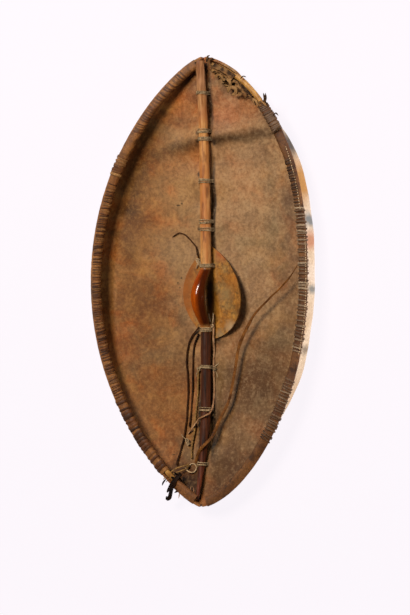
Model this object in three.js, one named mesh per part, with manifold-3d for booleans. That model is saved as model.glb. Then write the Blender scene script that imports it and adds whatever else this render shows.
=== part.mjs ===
// A pointed-oval hide war shield, lying on its front with the hollow back up.
// Millimetres. +X across, +Y to the top tip, +Z up out of the back.
import * as THREE from 'three';
import { mergeVertices } from 'three/addons/utils/BufferGeometryUtils.js';
import Module from 'manifold-3d';

const wasm = await Module();
wasm.setup();

// Outline of the hide, seen from the back
const LENGTH = 950;
const WIDTH = 480;
const WIDER_LEFT = 2; // how far the middle line lies right of the middle of the width
const HALF_WIDTH = { left: WIDTH / 2 + WIDER_LEFT, right: WIDTH / 2 - WIDER_LEFT };
// The half width falls towards a tip as (1 - u ^ power) ^ taper, with u the share of the way there
const TAPER = {
  left: { top: { power: 2, taper: 0.77 }, bottom: { power: 2, taper: 0.785 } },
  right: { top: { power: 2.5, taper: 0.61 }, bottom: { power: 2, taper: 0.63 } },
};
const TIP_END = 0.99; // share of the half length at which the hide is cut off square

// Depth of the dish
const HIDE_THICKNESS = 5;
const RIM_HEIGHT = 62;
const RIM_DROP = { top: 24, bottom: 14 };
const KEEL_FLAT = 200; // half the length of the underside that lies flat
const KEEL_RISE = { top: 22, bottom: 30 };
const WALL_BULGE = 6; // how far the wall stands out past the rim
const WALL_FLARE = 0.13; // near the tips the wall leans in by this share of the half width
const FLARE = { top: { from: 230, to: 420 }, bottom: { from: 170, to: 390 } };

// Rim
const HOOP_RADIUS = 6;
const BINDING_THICKNESS = 1.8;
const BINDING_CORNER = 4;
const BINDING_DEPTH = 4.5; // how far it reaches down the outer face
const BINDING_SPLAY = 0.6; // how far its lower edge stands off the swell of the wall
// Where each piece of the rim ends, as shares of the half length
const HOOP_ENDS = { left: [-0.975, 0.975], right: [-0.975, 0.98] };
const BINDING_ENDS = { left: [-0.86, 0.95], right: [-0.965, 0.79] };
const TIP_BINDING_ENDS = [-0.965, -0.91];
const TORN_ENDS = [0.83, 0.95];
// Half width and half height of the torn hide: the middle value, and how far and how fast it varies along it
const TORN_WIDE = { middle: 3.4, swing: 1.6, turns: 95 };
const TORN_TALL = { middle: 3.6, swing: 1.2, turns: 70 };
const TORN_RISE = 2; // how far it sits above the middle of the hoop

// Stick and grip
const STICK_X = 3;
const STICK_TOP = 446;
const STICK_BOTTOM = 452;
const STICK_WIDTH = { top: 18, middle: 23, lower: 21, point: 6 };
const STICK_HEIGHT = 16;
const STICK_POINT_HEIGHT = 7;
const POINT_START = 300; // how far down the stick starts to narrow to its point
const GRIP_TOP = 28;
const GRIP_BOTTOM = -95;
const GRIP_WIDTH = 31;
const GRIP_HEIGHT = 25;
const GRIP_BOW = 31; // clear height for the fingers under the middle of the grip
const GRIP_LEAN = -5; // how far the middle of the grip stands to the left of the stick

// Lashings of the stick, from the top: where each band crosses
const THONG_THICKNESS = 2;
const BAND_WIDTH = 8;
const PLAIN_LASHINGS = [[398], [319, 302], [213], [127, 110], [-180.6], [-270], [-385]];
const GRIP_LASHINGS = [[34.6], [-100.8]];
const PUCKER = 7; // how far each lashing draws the hide in
const PUCKER_REACH = { across: 25, along: 30 };

// Palm guard
const GUARD_THICKNESS = 3;
const GUARD = { top: 78, bottom: -122, left: -53, right: 84, widestLeft: -24, widestRight: -42 };
const GUARD_TAPER = { left: 1, rightTop: 0.8, rightBottom: 0.5 };
const GUARD_LIFT = 24; // how far its right edge stands off the hide
const GUARD_SAG = 1.5;

// Loose thongs and straps: section, and route from the end that is tied
const CORD = 4;
const CURL = 3;
const TWISTED = 5;
const STRAP = { width: 7, thickness: 2.2 };
const THONGS = {
  thong_grip_curl: {
    wide: CURL,
    deep: CURL,
    route: [
      [-13.5, 44, 14.8], [-16, 51, 14.4], [-19, 60, 14.2], [-21, 68, 12], [-23, 74, 10], [-29.8, 82, 9.4],
      [-35, 88, 9.4], [-41, 93.5, 9.2], [-46.5, 98.5, 8.8], [-52.6, 101.9, 8.4], [-61.7, 104, 7.9],
      [-66, 102.5, 7.9], [-70.6, 99.8, 8], [-77.3, 95.5, 8.1],
    ],
  },
  thong_outer: {
    wide: CORD,
    deep: CORD,
    route: [
      [-14, -96, 15], [-21, -104, 14], [-28, -111, 11.5], [-34, -120, 9.8], [-39.2, -131, 9],
      [-43.5, -152, 9.2], [-44.3, -175, 10], [-42, -196, 10.2], [-41.2, -217.4, 9.4],
      [-40.8, -242.6, 10.2], [-41.5, -265.7, 12.2], [-43, -290.9, 12.9], [-46, -314, 14.2],
      [-49, -337, 16.6], [-53, -352, 18.8], [-56, -366.4, 21.6], [-59.5, -380, 25], [-60.5, -389, 28.5],
    ],
  },
  thong_inner: {
    wide: CORD,
    deep: CORD,
    route: [
      [-16, -110, 13.5], [-21, -120, 11], [-26.7, -133, 9.5], [-28.7, -154, 10.6], [-28.9, -175, 12.4],
      [-29.8, -198, 11.4], [-30.6, -223, 10.2], [-31.1, -253, 12.5], [-32.6, -280, 14.4],
      [-34.5, -295, 14], [-37, -308, 14.2],
    ],
  },
  thong_twisted: {
    wide: TWISTED,
    deep: TWISTED,
    route: [
      [-14.5, -186, 16], [-16.5, -200, 13.6], [-17.8, -215, 11.6], [-18, -240, 12.2], [-19.4, -268, 17],
      [-21.3, -286, 16.2], [-22.5, -303, 15.3], [-24.5, -320, 15.6], [-27.5, -337, 17.2],
      [-28.5, -358, 21.6], [-26.5, -374, 26.4],
    ],
  },
  thong_light: {
    wide: CORD,
    deep: CORD,
    route: [
      [18, -68, 16.8], [18.6, -82, 16.8], [19, -96, 16.8], [19, -108, 16.8], [18.4, -118, 16.4],
      [18, -128, 13.6], [18, -140, 11], [18.4, -160, 12.2], [18.8, -180, 15], [18.6, -196, 13.8],
      [18.2, -216, 10.6], [18.4, -240, 12], [18.8, -256, 17], [18.8, -268, 24], [15.5, -277.5, 31.5],
      [8, -282, 34.6], [-1, -286, 34.4], [-9.5, -290, 29], [-15, -295, 23], [-22, -303.5, 21.8],
      [-29, -311, 18.6], [-34.5, -317, 15.6], [-40, -322.5, 15],
    ],
  },
  thong_loop: {
    wide: CURL,
    deep: CURL,
    route: [
      [-42, -393, 26.6], [-38, -398, 27.2], [-33, -402, 28], [-27, -403.5, 28.8], [-21, -402.5, 29.2],
      [-16, -398, 29.4], [-15, -391.5, 29], [-18.5, -386.5, 28], [-24.5, -385, 27.2], [-30, -387, 26.8],
      [-32, -392, 27],
    ],
  },
  strap_long: {
    wide: STRAP.width,
    deep: STRAP.thickness,
    route: [
      [-17, -384, 27.6], [-14.5, -374, 29], [-10, -364, 33.5], [-4, -355, 38.4], [3, -348, 39.4],
      [10.5, -340, 38.2], [19.2, -331, 35], [24.9, -320, 31.5], [29.4, -308.7, 29], [36.2, -291, 27],
      [45.2, -274, 25.5], [53.5, -257, 24], [58.8, -240, 23.4], [62.2, -223.7, 23],
      [67.3, -198.5, 23.8], [71.7, -175, 25], [79.3, -138, 27.4], [91.2, -110, 29.4],
      [104.9, -86, 31.4], [114.8, -70.4, 32.8], [128.7, -55.7, 34.4], [140.3, -45, 35.6],
      [154.4, -31.5, 37], [170.5, -18, 38.6], [182.1, -6.3, 39.8], [193.7, 5.3, 41], [204.1, 19, 42.3],
      [213.5, 33, 43.6],
    ],
  },
};
// Stiff folded end of a strap, over the rim and down outside it. Its route goes by the left rim:
// the share of the half length, and the distances from the rim's edge inward and rimward
const STRAP_END = {
  wide: 12,
  deep: 2.4,
  route: [
    [-0.879, 28.8, -33.3], [-0.884, 24.6, -22.2], [-0.888, 23.1, -10.2], [-0.892, 19.5, 0.5],
    [-0.894, 11, 3.8], [-0.895, 1.7, 3.8], [-0.895, -5.1, -1.1], [-0.893, -9.7, -8.5],
    [-0.891, -15.9, -19.7], [-0.888, -23.7, -31.7], [-0.887, -32.7, -40.2], [-0.888, -42.8, -42.5],
  ],
};

const ROUND = 8; // sides of a small round section
const FIT = 0.3; // clearance between pieces that touch
const BAND_SLACK = 0.45; // clearance of a lashing round the stick

const halfLength = LENGTH / 2;
const stickBase = PUCKER + HIDE_THICKNESS + FIT; // underside of the stick above the keel line
const bedHalf = STICK_WIDTH.middle / 2 + THONG_THICKNESS + 3; // the hide is level this far beside the stick
const gripPucker = PUCKER - GUARD_THICKNESS - FIT;
const clamp01 = (v) => Math.min(1, Math.max(0, v));
const smooth = (v) => v * v * (3 - 2 * v);
const mix = (a, b, v) => a + (b - a) * v;

// Half width of the outline on one side, u running from -1 at the bottom tip to 1 at the top
function halfWidth(side, u) {
  const { power, taper } = TAPER[side][u > 0 ? 'top' : 'bottom'];
  return HALF_WIDTH[side] * (1 - Math.abs(u) ** power) ** taper;
}

function rimHeight(u) {
  return RIM_HEIGHT - RIM_DROP[u > 0 ? 'top' : 'bottom'] * Math.abs(u) ** 3;
}

function keelHeight(y) {
  const past = Math.max(0, Math.abs(y) - KEEL_FLAT) / (halfLength - KEEL_FLAT);
  return KEEL_RISE[y > 0 ? 'top' : 'bottom'] * past ** 2;
}

// Each lashing group: its middle, half its length along the stick, and how far it draws the hide in
const lashings = [
  ...PLAIN_LASHINGS.map((bands) => ({ bands, draw: PUCKER })),
  ...GRIP_LASHINGS.map((bands) => ({ bands, draw: gripPucker })),
].map(({ bands, draw }) => ({
  bands,
  draw,
  middle: (bands[0] + bands.at(-1)) / 2,
  half: (bands[0] - bands.at(-1)) / 2 + BAND_WIDTH / 2 + 1,
}));

// How far the hide is drawn in at a point, level across each band and fading round it
function pucker(x, y) {
  const across = Math.max(0, Math.abs(x - STICK_X) - bedHalf);
  let most = 0;
  for (const { middle, half, draw } of lashings) {
    const along = Math.max(0, Math.abs(y - middle) - half);
    const fade = (across / PUCKER_REACH.across) ** 2 + (along / PUCKER_REACH.along) ** 2;
    most = Math.max(most, draw * Math.exp(-fade));
  }
  return most;
}

// A point of the outer face: u along the shield, s from -1 at the left rim over the keel to 1 at the right
function hullPoint(u, s) {
  const side = s < 0 ? 'left' : 'right';
  const y = u * halfLength;
  const w = halfWidth(side, u);
  const low = keelHeight(y);
  const deep = rimHeight(u) - low;
  const { from: flareFrom, to: flareTo } = FLARE[y > 0 ? 'top' : 'bottom'];
  const flare = smooth(clamp01((Math.abs(y) - flareFrom) / (flareTo - flareFrom)));
  const bulge = mix(WALL_BULGE, -WALL_FLARE * w, flare);
  const control = [
    [0, 0],
    [0.15 * w, 0],
    [0.3 * w, 0],
    [0.7 * w, 0.1 * deep],
    [w + bulge, 0.2 * deep],
    [w + (bulge > 0 ? 1.2 : 0.45) * bulge, 0.55 * deep],
    [w, deep],
  ];
  // A clamped quadratic B-spline through the control points
  const spans = control.length - 2;
  const at = Math.min(Math.abs(s) * spans, spans - 1e-9);
  const k = Math.floor(at);
  const f = at - k;
  const middle = (i) => [0, 1].map((c) => (control[i][c] + control[i + 1][c]) / 2);
  const from = k === 0 ? control[0] : middle(k);
  const to = k === spans - 1 ? control.at(-1) : middle(k + 1);
  const [x, z] = [0, 1].map(
    (c) => from[c] * (1 - f) ** 2 + 2 * control[k + 1][c] * f * (1 - f) + to[c] * f ** 2,
  );
  const across = s < 0 ? -x : x;
  return new THREE.Vector3(across, y, low + z + pucker(across, y));
}

// The hull's own directions at a point: up is the normal into the hollow, rimward runs up the section
function hullFrame(u, s) {
  const step = 1e-3;
  const s0 = Math.max(-1, s - step);
  const s1 = Math.min(1, s + step);
  const u0 = Math.max(-0.9999, u - step);
  const u1 = Math.min(0.9999, u + step);
  const over = hullPoint(u, s1).sub(hullPoint(u, s0)).normalize();
  const along = hullPoint(u1, s).sub(hullPoint(u0, s)).normalize();
  const normal = over.clone().cross(along).normalize();
  return { point: hullPoint(u, s), normal, rimward: over.multiplyScalar(s < 0 ? -1 : 1) };
}

// Stations along the shield: both edges of every lashing group, and even steps of at most spacing between
const spacing = 38;
const marks = lashings.flatMap(({ middle, half }) => [middle - half, middle + half]);
const rimEnds = [HOOP_ENDS, BINDING_ENDS].flatMap(({ left, right }) => [...left, ...right]);
rimEnds.push(...TIP_BINDING_ENDS, ...TORN_ENDS);
for (const u of [-TIP_END, TIP_END, ...new Set(rimEnds)]) marks.push(u * halfLength);
marks.sort((a, b) => a - b);
const stations = [marks[0] / halfLength];
for (let i = 1; i < marks.length; i += 1) {
  const steps = Math.ceil((marks[i] - marks[i - 1]) / spacing);
  for (let k = 1; k <= steps; k += 1) stations.push(mix(marks[i - 1], marks[i], k / steps) / halfLength);
}

// Lines across: close together by the stick, where the hide puckers, and round the turn of the wall
const halfLines = [0.024, 0.052, 0.09, 0.15, 0.24, 0.34, 0.44, 0.53, 0.6, 0.68, 0.79, 1];
const lines = [...halfLines.map((s) => -s).reverse(), 0, ...halfLines];

function geometryOf(points, triangles) {
  const geometry = new THREE.BufferGeometry();
  geometry.setAttribute('position', new THREE.Float32BufferAttribute(points.flatMap((p) => p.toArray()), 3));
  geometry.setIndex(triangles.flat());
  return geometry;
}

// A closed skin over rings of equal length, ring after ring, with flat caps at both ends
function loft(rings) {
  const count = rings[0].length;
  const points = rings.flat();
  const triangles = [];
  for (let i = 0; i + 1 < rings.length; i += 1) {
    for (let k = 0; k < count; k += 1) {
      const a = i * count + k;
      const b = i * count + ((k + 1) % count);
      triangles.push([a, b, b + count], [a, b + count, a + count]);
    }
  }
  const cap = THREE.ShapeUtils.triangulateShape(flatten(rings[0]), []);
  const last = (rings.length - 1) * count;
  for (const [a, b, c] of cap) triangles.push([a, c, b], [a + last, b + last, c + last]);
  return facingOut(geometryOf(points, triangles));
}

// A ring's points in its own plane, for cutting its cap into triangles
function flatten(ring) {
  const normal = new THREE.Vector3();
  ring.forEach((p, i) => normal.add(p.clone().cross(ring[(i + 1) % ring.length])));
  normal.normalize();
  const right = ring[1].clone().sub(ring[0]).normalize();
  const up = normal.clone().cross(right);
  return ring.map((p) => new THREE.Vector2(p.dot(right), p.dot(up)));
}

function facingOut(geometry) {
  const p = geometry.getAttribute('position');
  const index = geometry.getIndex().array;
  const [a, b, c] = [new THREE.Vector3(), new THREE.Vector3(), new THREE.Vector3()];
  let volume = 0;
  for (let i = 0; i < index.length; i += 3) {
    a.fromBufferAttribute(p, index[i]);
    b.fromBufferAttribute(p, index[i + 1]);
    c.fromBufferAttribute(p, index[i + 2]);
    volume += a.dot(b.cross(c));
  }
  if (volume < 0) {
    for (let i = 0; i < index.length; i += 3) [index[i + 1], index[i + 2]] = [index[i + 2], index[i + 1]];
  }
  return geometry;
}

function solid(geometry) {
  const bare = geometry.clone();
  bare.deleteAttribute('normal');
  bare.deleteAttribute('uv');
  const merged = mergeVertices(bare, 1e-4);
  return new wasm.Manifold(new wasm.Mesh({
    numProp: 3,
    vertProperties: merged.attributes.position.array,
    triVerts: new Uint32Array(merged.index.array),
  }));
}

function geometryFrom(manifold) {
  const mesh = manifold.getMesh();
  const geometry = new THREE.BufferGeometry();
  geometry.setAttribute('position', new THREE.BufferAttribute(mesh.vertProperties, 3));
  geometry.setIndex(new THREE.BufferAttribute(mesh.triVerts, 1));
  return geometry;
}

const shield = new THREE.Group();

function add(name, geometry, material) {
  const mesh = new THREE.Mesh(geometry, material);
  mesh.name = name;
  shield.add(mesh);
  return mesh;
}

const rawhide = new THREE.MeshStandardMaterial({ color: 0x87603f, roughness: 0.85, metalness: 0 });
const guardHide = new THREE.MeshStandardMaterial({ color: 0x946332, roughness: 0.7, metalness: 0 });
const barkWood = new THREE.MeshStandardMaterial({ color: 0xaa7246, roughness: 0.6, metalness: 0 });
const hoopWood = new THREE.MeshStandardMaterial({ color: 0x9c7440, roughness: 0.7, metalness: 0 });
const thongHide = new THREE.MeshStandardMaterial({ color: 0x5f4330, roughness: 0.8, metalness: 0 });

// Middle line and half sizes of the stick at a height y up the shield
function stickSection(y) {
  const gripShare = clamp01((GRIP_TOP - y) / (GRIP_TOP - GRIP_BOTTOM));
  const bow = Math.sin(Math.PI * gripShare);
  const upper = mix(STICK_WIDTH.middle, STICK_WIDTH.top, clamp01(y / STICK_TOP) ** 2);
  const sharp = clamp01((-y - POINT_START) / (STICK_BOTTOM - POINT_START));
  const lower = mix(STICK_WIDTH.lower, STICK_WIDTH.point, sharp ** 1.5);
  const width = mix(y > 0 ? upper : lower, GRIP_WIDTH, bow);
  const height = mix(mix(STICK_HEIGHT, STICK_POINT_HEIGHT, sharp ** 1.5), GRIP_HEIGHT, bow);
  return {
    x: STICK_X + GRIP_LEAN * bow,
    z: stickBase + keelHeight(y) + GRIP_BOW * bow + height / 2,
    a: width / 2,
    b: height / 2,
  };
}

// Palm guard: half widths of its outline either side of the stick, and the height of its underside
function guardEdge(side, y) {
  const widest = side === 'left' ? GUARD.widestLeft : GUARD.widestRight;
  const end = y > widest ? GUARD.top : GUARD.bottom;
  const share = Math.min(1, Math.abs((y - widest) / (end - widest)));
  const rightTaper = y > widest ? GUARD_TAPER.rightTop : GUARD_TAPER.rightBottom;
  const taper = side === 'left' ? GUARD_TAPER.left : rightTaper;
  return STICK_X + (GUARD[side] - STICK_X) * (1 - share ** 2) ** taper;
}

function guardHeight(x) {
  const base = gripPucker + HIDE_THICKNESS + FIT;
  const off = x - STICK_X;
  const lift = GUARD_LIFT * (Math.max(0, off) / (GUARD.right - STICK_X)) ** 1.6;
  return base + lift - GUARD_SAG * (Math.max(0, -off - bedHalf) / (STICK_X - GUARD.left));
}

function palmGuard() {
  const rows = 22;
  const across = 8;
  const rings = Array.from({ length: rows - 1 }, (_, i) => {
    const y = mix(GUARD.top, GUARD.bottom, (1 - Math.cos((Math.PI * (i + 1)) / rows)) / 2);
    const [left, right] = ['left', 'right'].map((side) => guardEdge(side, y));
    const xs = Array.from({ length: across + 1 }, (_, k) => mix(left, right, k / across));
    const upper = xs.map((x) => new THREE.Vector3(x, y, guardHeight(x) + GUARD_THICKNESS));
    const lower = xs.map((x) => new THREE.Vector3(x, y, guardHeight(x))).reverse();
    return [...upper, ...lower];
  });
  let body = solid(loft(rings));
  for (const y of GRIP_LASHINGS.flat()) for (const slot of slots(y)) body = body.subtract(slot);
  return geometryFrom(body);
}

function stick() {
  const sides = 12;
  const ys = [STICK_TOP];
  for (const [from, to, steps] of [
    [STICK_TOP, GRIP_TOP, 16],
    [GRIP_TOP, GRIP_BOTTOM, 14],
    [GRIP_BOTTOM, -STICK_BOTTOM, 13],
  ]) {
    for (let k = 1; k <= steps; k += 1) ys.push(mix(from, to, k / steps));
  }
  const rings = ys.map((y) => {
    const { x, z, a, b } = stickSection(y);
    return Array.from({ length: sides }, (_, k) => {
      const angle = ((k + 0.5) / sides) * 2 * Math.PI;
      return new THREE.Vector3(x + a * Math.cos(angle), y, z + b * Math.sin(angle));
    });
  });
  return loft(rings);
}

// A band of thong through the hide and over the stick, as a closed ring
function bandOutline(y, grow) {
  const { x, z, a, b } = stickSection(y);
  const under = hullPoint(y / halfLength, 0).z;
  const arc = 8;
  const over = Array.from({ length: arc + 1 }, (_, k) => {
    const angle = (Math.PI * k) / arc;
    return [x + (a + grow) * Math.cos(angle), z + (b + grow) * Math.sin(angle)];
  });
  return [...over, [x - a - grow, under - grow], [x + a + grow, under - grow]];
}

function band(y) {
  const reach = BAND_WIDTH / 2;
  const inner = BAND_SLACK;
  const outer = inner + THONG_THICKNESS;
  const corners = [[inner, -reach], [outer, -reach], [outer, reach], [inner, reach]];
  const rings = corners.map(([grow, end]) => bandOutline(y + end, grow)
    .map(([x, z]) => new THREE.Vector3(x, y + end, z)));
  const count = rings[0].length;
  const triangles = [];
  for (let i = 0; i < 4; i += 1) {
    for (let k = 0; k < count; k += 1) {
      const a = i * count + k;
      const b = i * count + ((k + 1) % count);
      const c = ((i + 1) % 4) * count + k;
      const d = ((i + 1) % 4) * count + ((k + 1) % count);
      triangles.push([a, b, d], [a, d, c]);
    }
  }
  return facingOut(geometryOf(rings.flat(), triangles));
}

// Slots that a band needs in the hide and in the palm guard
function slots(y) {
  const { x, z, a } = stickSection(y);
  const wide = THONG_THICKNESS + 2 * BAND_SLACK;
  return [-1, 1].map((side) => {
    const box = new THREE.BoxGeometry(wide, BAND_WIDTH + 2 * FIT, 2 * z);
    box.translate(x + side * (a + BAND_SLACK + THONG_THICKNESS / 2), y, keelHeight(y));
    return solid(box);
  });
}

const bandYs = lashings.flatMap(({ bands }) => bands).sort((a, b) => b - a);

// Hide
function hide() {
  const rows = stations.length;
  const across = lines.length;
  const outer = stations.flatMap((u) => lines.map((s) => hullPoint(u, s)));
  const inner = stations.flatMap((u) => lines.map((s) => innerPoint(u, s)));
  const shift = outer.length;
  const triangles = [];
  const quad = (a, b, c, d) => triangles.push([a, b, c], [a, c, d]);
  const at = (i, j) => i * across + j;
  for (let i = 0; i + 1 < rows; i += 1) {
    for (let j = 0; j + 1 < across; j += 1) {
      quad(at(i, j), at(i + 1, j), at(i + 1, j + 1), at(i, j + 1));
      quad(at(i, j) + shift, at(i, j + 1) + shift, at(i + 1, j + 1) + shift, at(i + 1, j) + shift);
    }
    const end = across - 1;
    quad(at(i, 0), at(i, 0) + shift, at(i + 1, 0) + shift, at(i + 1, 0));
    quad(at(i, end), at(i + 1, end), at(i + 1, end) + shift, at(i, end) + shift);
  }
  for (let j = 0; j + 1 < across; j += 1) {
    quad(at(0, j), at(0, j + 1), at(0, j + 1) + shift, at(0, j) + shift);
    quad(at(rows - 1, j), at(rows - 1, j) + shift, at(rows - 1, j + 1) + shift, at(rows - 1, j + 1));
  }
  let body = solid(facingOut(geometryOf([...outer, ...inner], triangles)));
  for (const y of bandYs) for (const slot of slots(y)) body = body.subtract(slot);
  return geometryFrom(body);
}

function innerPoint(u, s) {
  const { point, normal } = hullFrame(u, s);
  return point.addScaledVector(normal, HIDE_THICKNESS);
}

// The room kept between hoop and hide, and the step by which the hoop is moved out until it has it
const HOOP_GAP = 1.5 * FIT;
const HOOP_PUSH = new THREE.Vector2(0.06, 0.08);

// Where the hoop's middle lies at a station, as distances inward and rimward from the hide's outer edge:
// beside the edge, and pushed out of the hollow as far as the turn of the hide under it needs
function hoopPlace(u, s) {
  const { point, normal, rimward } = hullFrame(u, s);
  const wall = halfLines.filter((line) => line > 0.3).map((line) => {
    const q = innerPoint(u, s * line).sub(point);
    return new THREE.Vector2(q.dot(normal), q.dot(rimward));
  });
  const centre = new THREE.Vector2(HIDE_THICKNESS + FIT + HOOP_RADIUS, -HOOP_RADIUS);
  const away = new THREE.Vector2();
  const clear = () => wall.slice(1).every((to, i) => {
    const from = wall[i];
    const side = to.clone().sub(from);
    const share = clamp01(away.copy(centre).sub(from).dot(side) / side.lengthSq());
    return centre.distanceTo(from.clone().addScaledVector(side, share)) > HOOP_RADIUS + HOOP_GAP;
  });
  while (!clear()) centre.add(HOOP_PUSH);
  return centre;
}

// A profile carried round one side of the rim, given as distances inward and rimward at each station
function alongRim(side, profileAt, [from, to]) {
  const s = side === 'left' ? -1 : 1;
  return loft(stations.filter((u) => u > from - 1e-6 && u < to + 1e-6).map((u) => {
    const { point, normal, rimward } = hullFrame(u, s);
    return profileAt(hoopPlace(u, s), u).map(([inward, up]) => point.clone()
      .addScaledVector(normal, inward)
      .addScaledVector(rimward, up));
  }));
}

function hoopProfile(centre) {
  return Array.from({ length: ROUND }, (_, k) => {
    const angle = ((k + 0.5) / ROUND) * 2 * Math.PI;
    return [centre.x + HOOP_RADIUS * Math.cos(angle), centre.y + HOOP_RADIUS * Math.sin(angle)];
  });
}

// The binding goes down over the hide's edge outside and over the upper half of the hoop inside
function bindingProfile(centre) {
  const b = BINDING_THICKNESS;
  const out = -FIT - b;
  const top = Math.max(0, centre.y + HOOP_RADIUS) + FIT + b;
  const far = centre.x + HOOP_RADIUS + FIT + b;
  const low = -BINDING_DEPTH;
  const legEnd = centre.y - BINDING_THICKNESS;
  const c = BINDING_CORNER;
  const d = c - b / 2;
  return [
    [out - BINDING_SPLAY, low], [out, top - b], [out + b, top], [far - c, top], [far, top - c], [far, legEnd],
    [far - b, legEnd], [far - b, top - b - d], [far - b - d, top - b], [-FIT, top - b],
    [-FIT - BINDING_SPLAY, low],
  ];
}

// Torn rawhide that still clings to the inside of the bare hoop, thicker and thinner along it
function tornProfile(centre, u) {
  const wide = TORN_WIDE.middle + TORN_WIDE.swing * Math.sin(TORN_WIDE.turns * u);
  const tall = TORN_TALL.middle + TORN_TALL.swing * Math.cos(TORN_TALL.turns * u);
  const middle = centre.x + HOOP_RADIUS + FIT + wide;
  return Array.from({ length: ROUND }, (_, k) => {
    const angle = ((k + 0.5) / ROUND) * 2 * Math.PI;
    return [middle + wide * Math.cos(angle), centre.y + TORN_RISE + tall * Math.sin(angle)];
  });
}

// A thong or strap: an oval section carried along its route
function thong({ wide, deep, route }) {
  const curve = new THREE.CatmullRomCurve3(route.map((p) => new THREE.Vector3(...p)), false, 'centripetal');
  const section = new THREE.Shape(Array.from({ length: ROUND }, (_, k) => {
    const angle = ((k + 0.5) / ROUND) * 2 * Math.PI;
    return new THREE.Vector2((deep / 2) * Math.cos(angle), (wide / 2) * Math.sin(angle));
  }));
  const steps = Math.ceil(curve.getLength() / (2.6 * wide));
  return new THREE.ExtrudeGeometry(section, { steps, extrudePath: curve, bevelEnabled: false });
}

// A stiff strip that bends only in the upright plane of its route, which goes by the left rim
function strip({ wide, deep, route }) {
  const places = route.map(([u, inward, up]) => {
    const { point, normal, rimward } = hullFrame(u, -1);
    return point.addScaledVector(normal, inward).addScaledVector(rimward, up);
  });
  const curve = new THREE.CatmullRomCurve3(places, false, 'centripetal');
  const run = curve.getPoint(1).sub(curve.getPoint(0));
  const across = new THREE.Vector3(-run.y, run.x, 0).normalize();
  const steps = 2 * route.length;
  return loft(Array.from({ length: steps + 1 }, (_, i) => {
    const middle = curve.getPoint(i / steps);
    const up = across.clone().cross(curve.getTangent(i / steps)).normalize();
    return [[-1, -1], [1, -1], [1, 1], [-1, 1]].map(([w, d]) => middle.clone()
      .addScaledVector(across, (w * wide) / 2)
      .addScaledVector(up, (d * deep) / 2));
  }));
}

add('hide', hide(), rawhide);
for (const side of ['left', 'right']) {
  add(`rim_hoop_${side}`, alongRim(side, hoopProfile, HOOP_ENDS[side]), hoopWood);
  add(`rim_binding_${side}`, alongRim(side, bindingProfile, BINDING_ENDS[side]), thongHide);
}
add('rim_binding_tip', alongRim('left', bindingProfile, TIP_BINDING_ENDS), thongHide);
add('torn_rim_hide', alongRim('right', tornProfile, TORN_ENDS), rawhide);
add('spine_stick', stick(), barkWood);
add('palm_guard', palmGuard(), guardHide);
bandYs.forEach((y, k) => add(`lashing_${String(k + 1).padStart(2, '0')}`, band(y), thongHide));

for (const [name, shape] of Object.entries(THONGS)) add(name, thong(shape), thongHide);
add('strap_end', strip(STRAP_END), thongHide);

// The origin is under the middle of everything but the loose thongs
const extent = new THREE.Box3();
for (const mesh of shield.children) if (!(mesh.name in THONGS)) extent.expandByObject(mesh);
const middle = extent.getCenter(new THREE.Vector3());
shield.position.set(-middle.x, -middle.y, -extent.min.z);

export default shield;
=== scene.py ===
import math
import random

import bpy
import numpy as np
from mathutils import Matrix, Vector, noise


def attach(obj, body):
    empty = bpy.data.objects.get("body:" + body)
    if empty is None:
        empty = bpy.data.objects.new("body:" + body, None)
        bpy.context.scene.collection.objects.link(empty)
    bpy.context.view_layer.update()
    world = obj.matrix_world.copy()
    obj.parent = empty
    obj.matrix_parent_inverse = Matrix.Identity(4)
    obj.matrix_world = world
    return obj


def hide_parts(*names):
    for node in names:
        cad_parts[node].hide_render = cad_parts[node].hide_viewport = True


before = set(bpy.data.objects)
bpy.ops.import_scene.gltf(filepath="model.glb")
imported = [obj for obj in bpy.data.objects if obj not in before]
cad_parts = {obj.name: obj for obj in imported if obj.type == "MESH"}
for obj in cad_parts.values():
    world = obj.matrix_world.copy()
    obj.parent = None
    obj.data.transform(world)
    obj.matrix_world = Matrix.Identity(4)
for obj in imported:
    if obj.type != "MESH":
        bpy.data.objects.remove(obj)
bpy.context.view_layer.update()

# A pointed-oval hide war shield, lying on its front with the hollow back up.
# Shapes are worked out in millimetres about the shield's own middle, then set into the frame in metres.
MM = 0.001
MIDDLE = np.array([1.999, 0.0, -0.0105])  # where the shield's own middle lies in the frame


def to_frame(points):
    return (np.asarray(points, float) + MIDDLE) * MM


# Camera: the shield faces it, turned twenty degrees to show the outside of the right wall
YAW = math.radians(20)
DISTANCE = 5.0
VIEW_HEIGHT = 1.2915
SENSOR = 24
RIM_MIDDLE = Vector((0.002, 0, 0.062))
AIM_RIGHT, AIM_DOWN = 0.0152, 0.0546  # from the middle of the rim to the middle of the picture
RIGHTWARD = Vector((math.cos(YAW), 0, -math.sin(YAW)))
TOWARDS = Vector((math.sin(YAW), 0, math.cos(YAW)))
aim = RIM_MIDDLE + AIM_RIGHT * RIGHTWARD + Vector((0, -AIM_DOWN, 0))
camera_data = bpy.data.cameras.new("camera")
camera_data.sensor_fit = "VERTICAL"
camera_data.sensor_height = SENSOR
camera_data.lens = SENSOR * DISTANCE / VIEW_HEIGHT
camera = bpy.data.objects.new("camera", camera_data)
camera.location = aim + DISTANCE * TOWARDS
camera.rotation_euler = (0, YAW, 0)
bpy.context.scene.collection.objects.link(camera)
bpy.context.scene.camera = camera
bpy.context.scene.view_settings.view_transform = "Standard"


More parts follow.
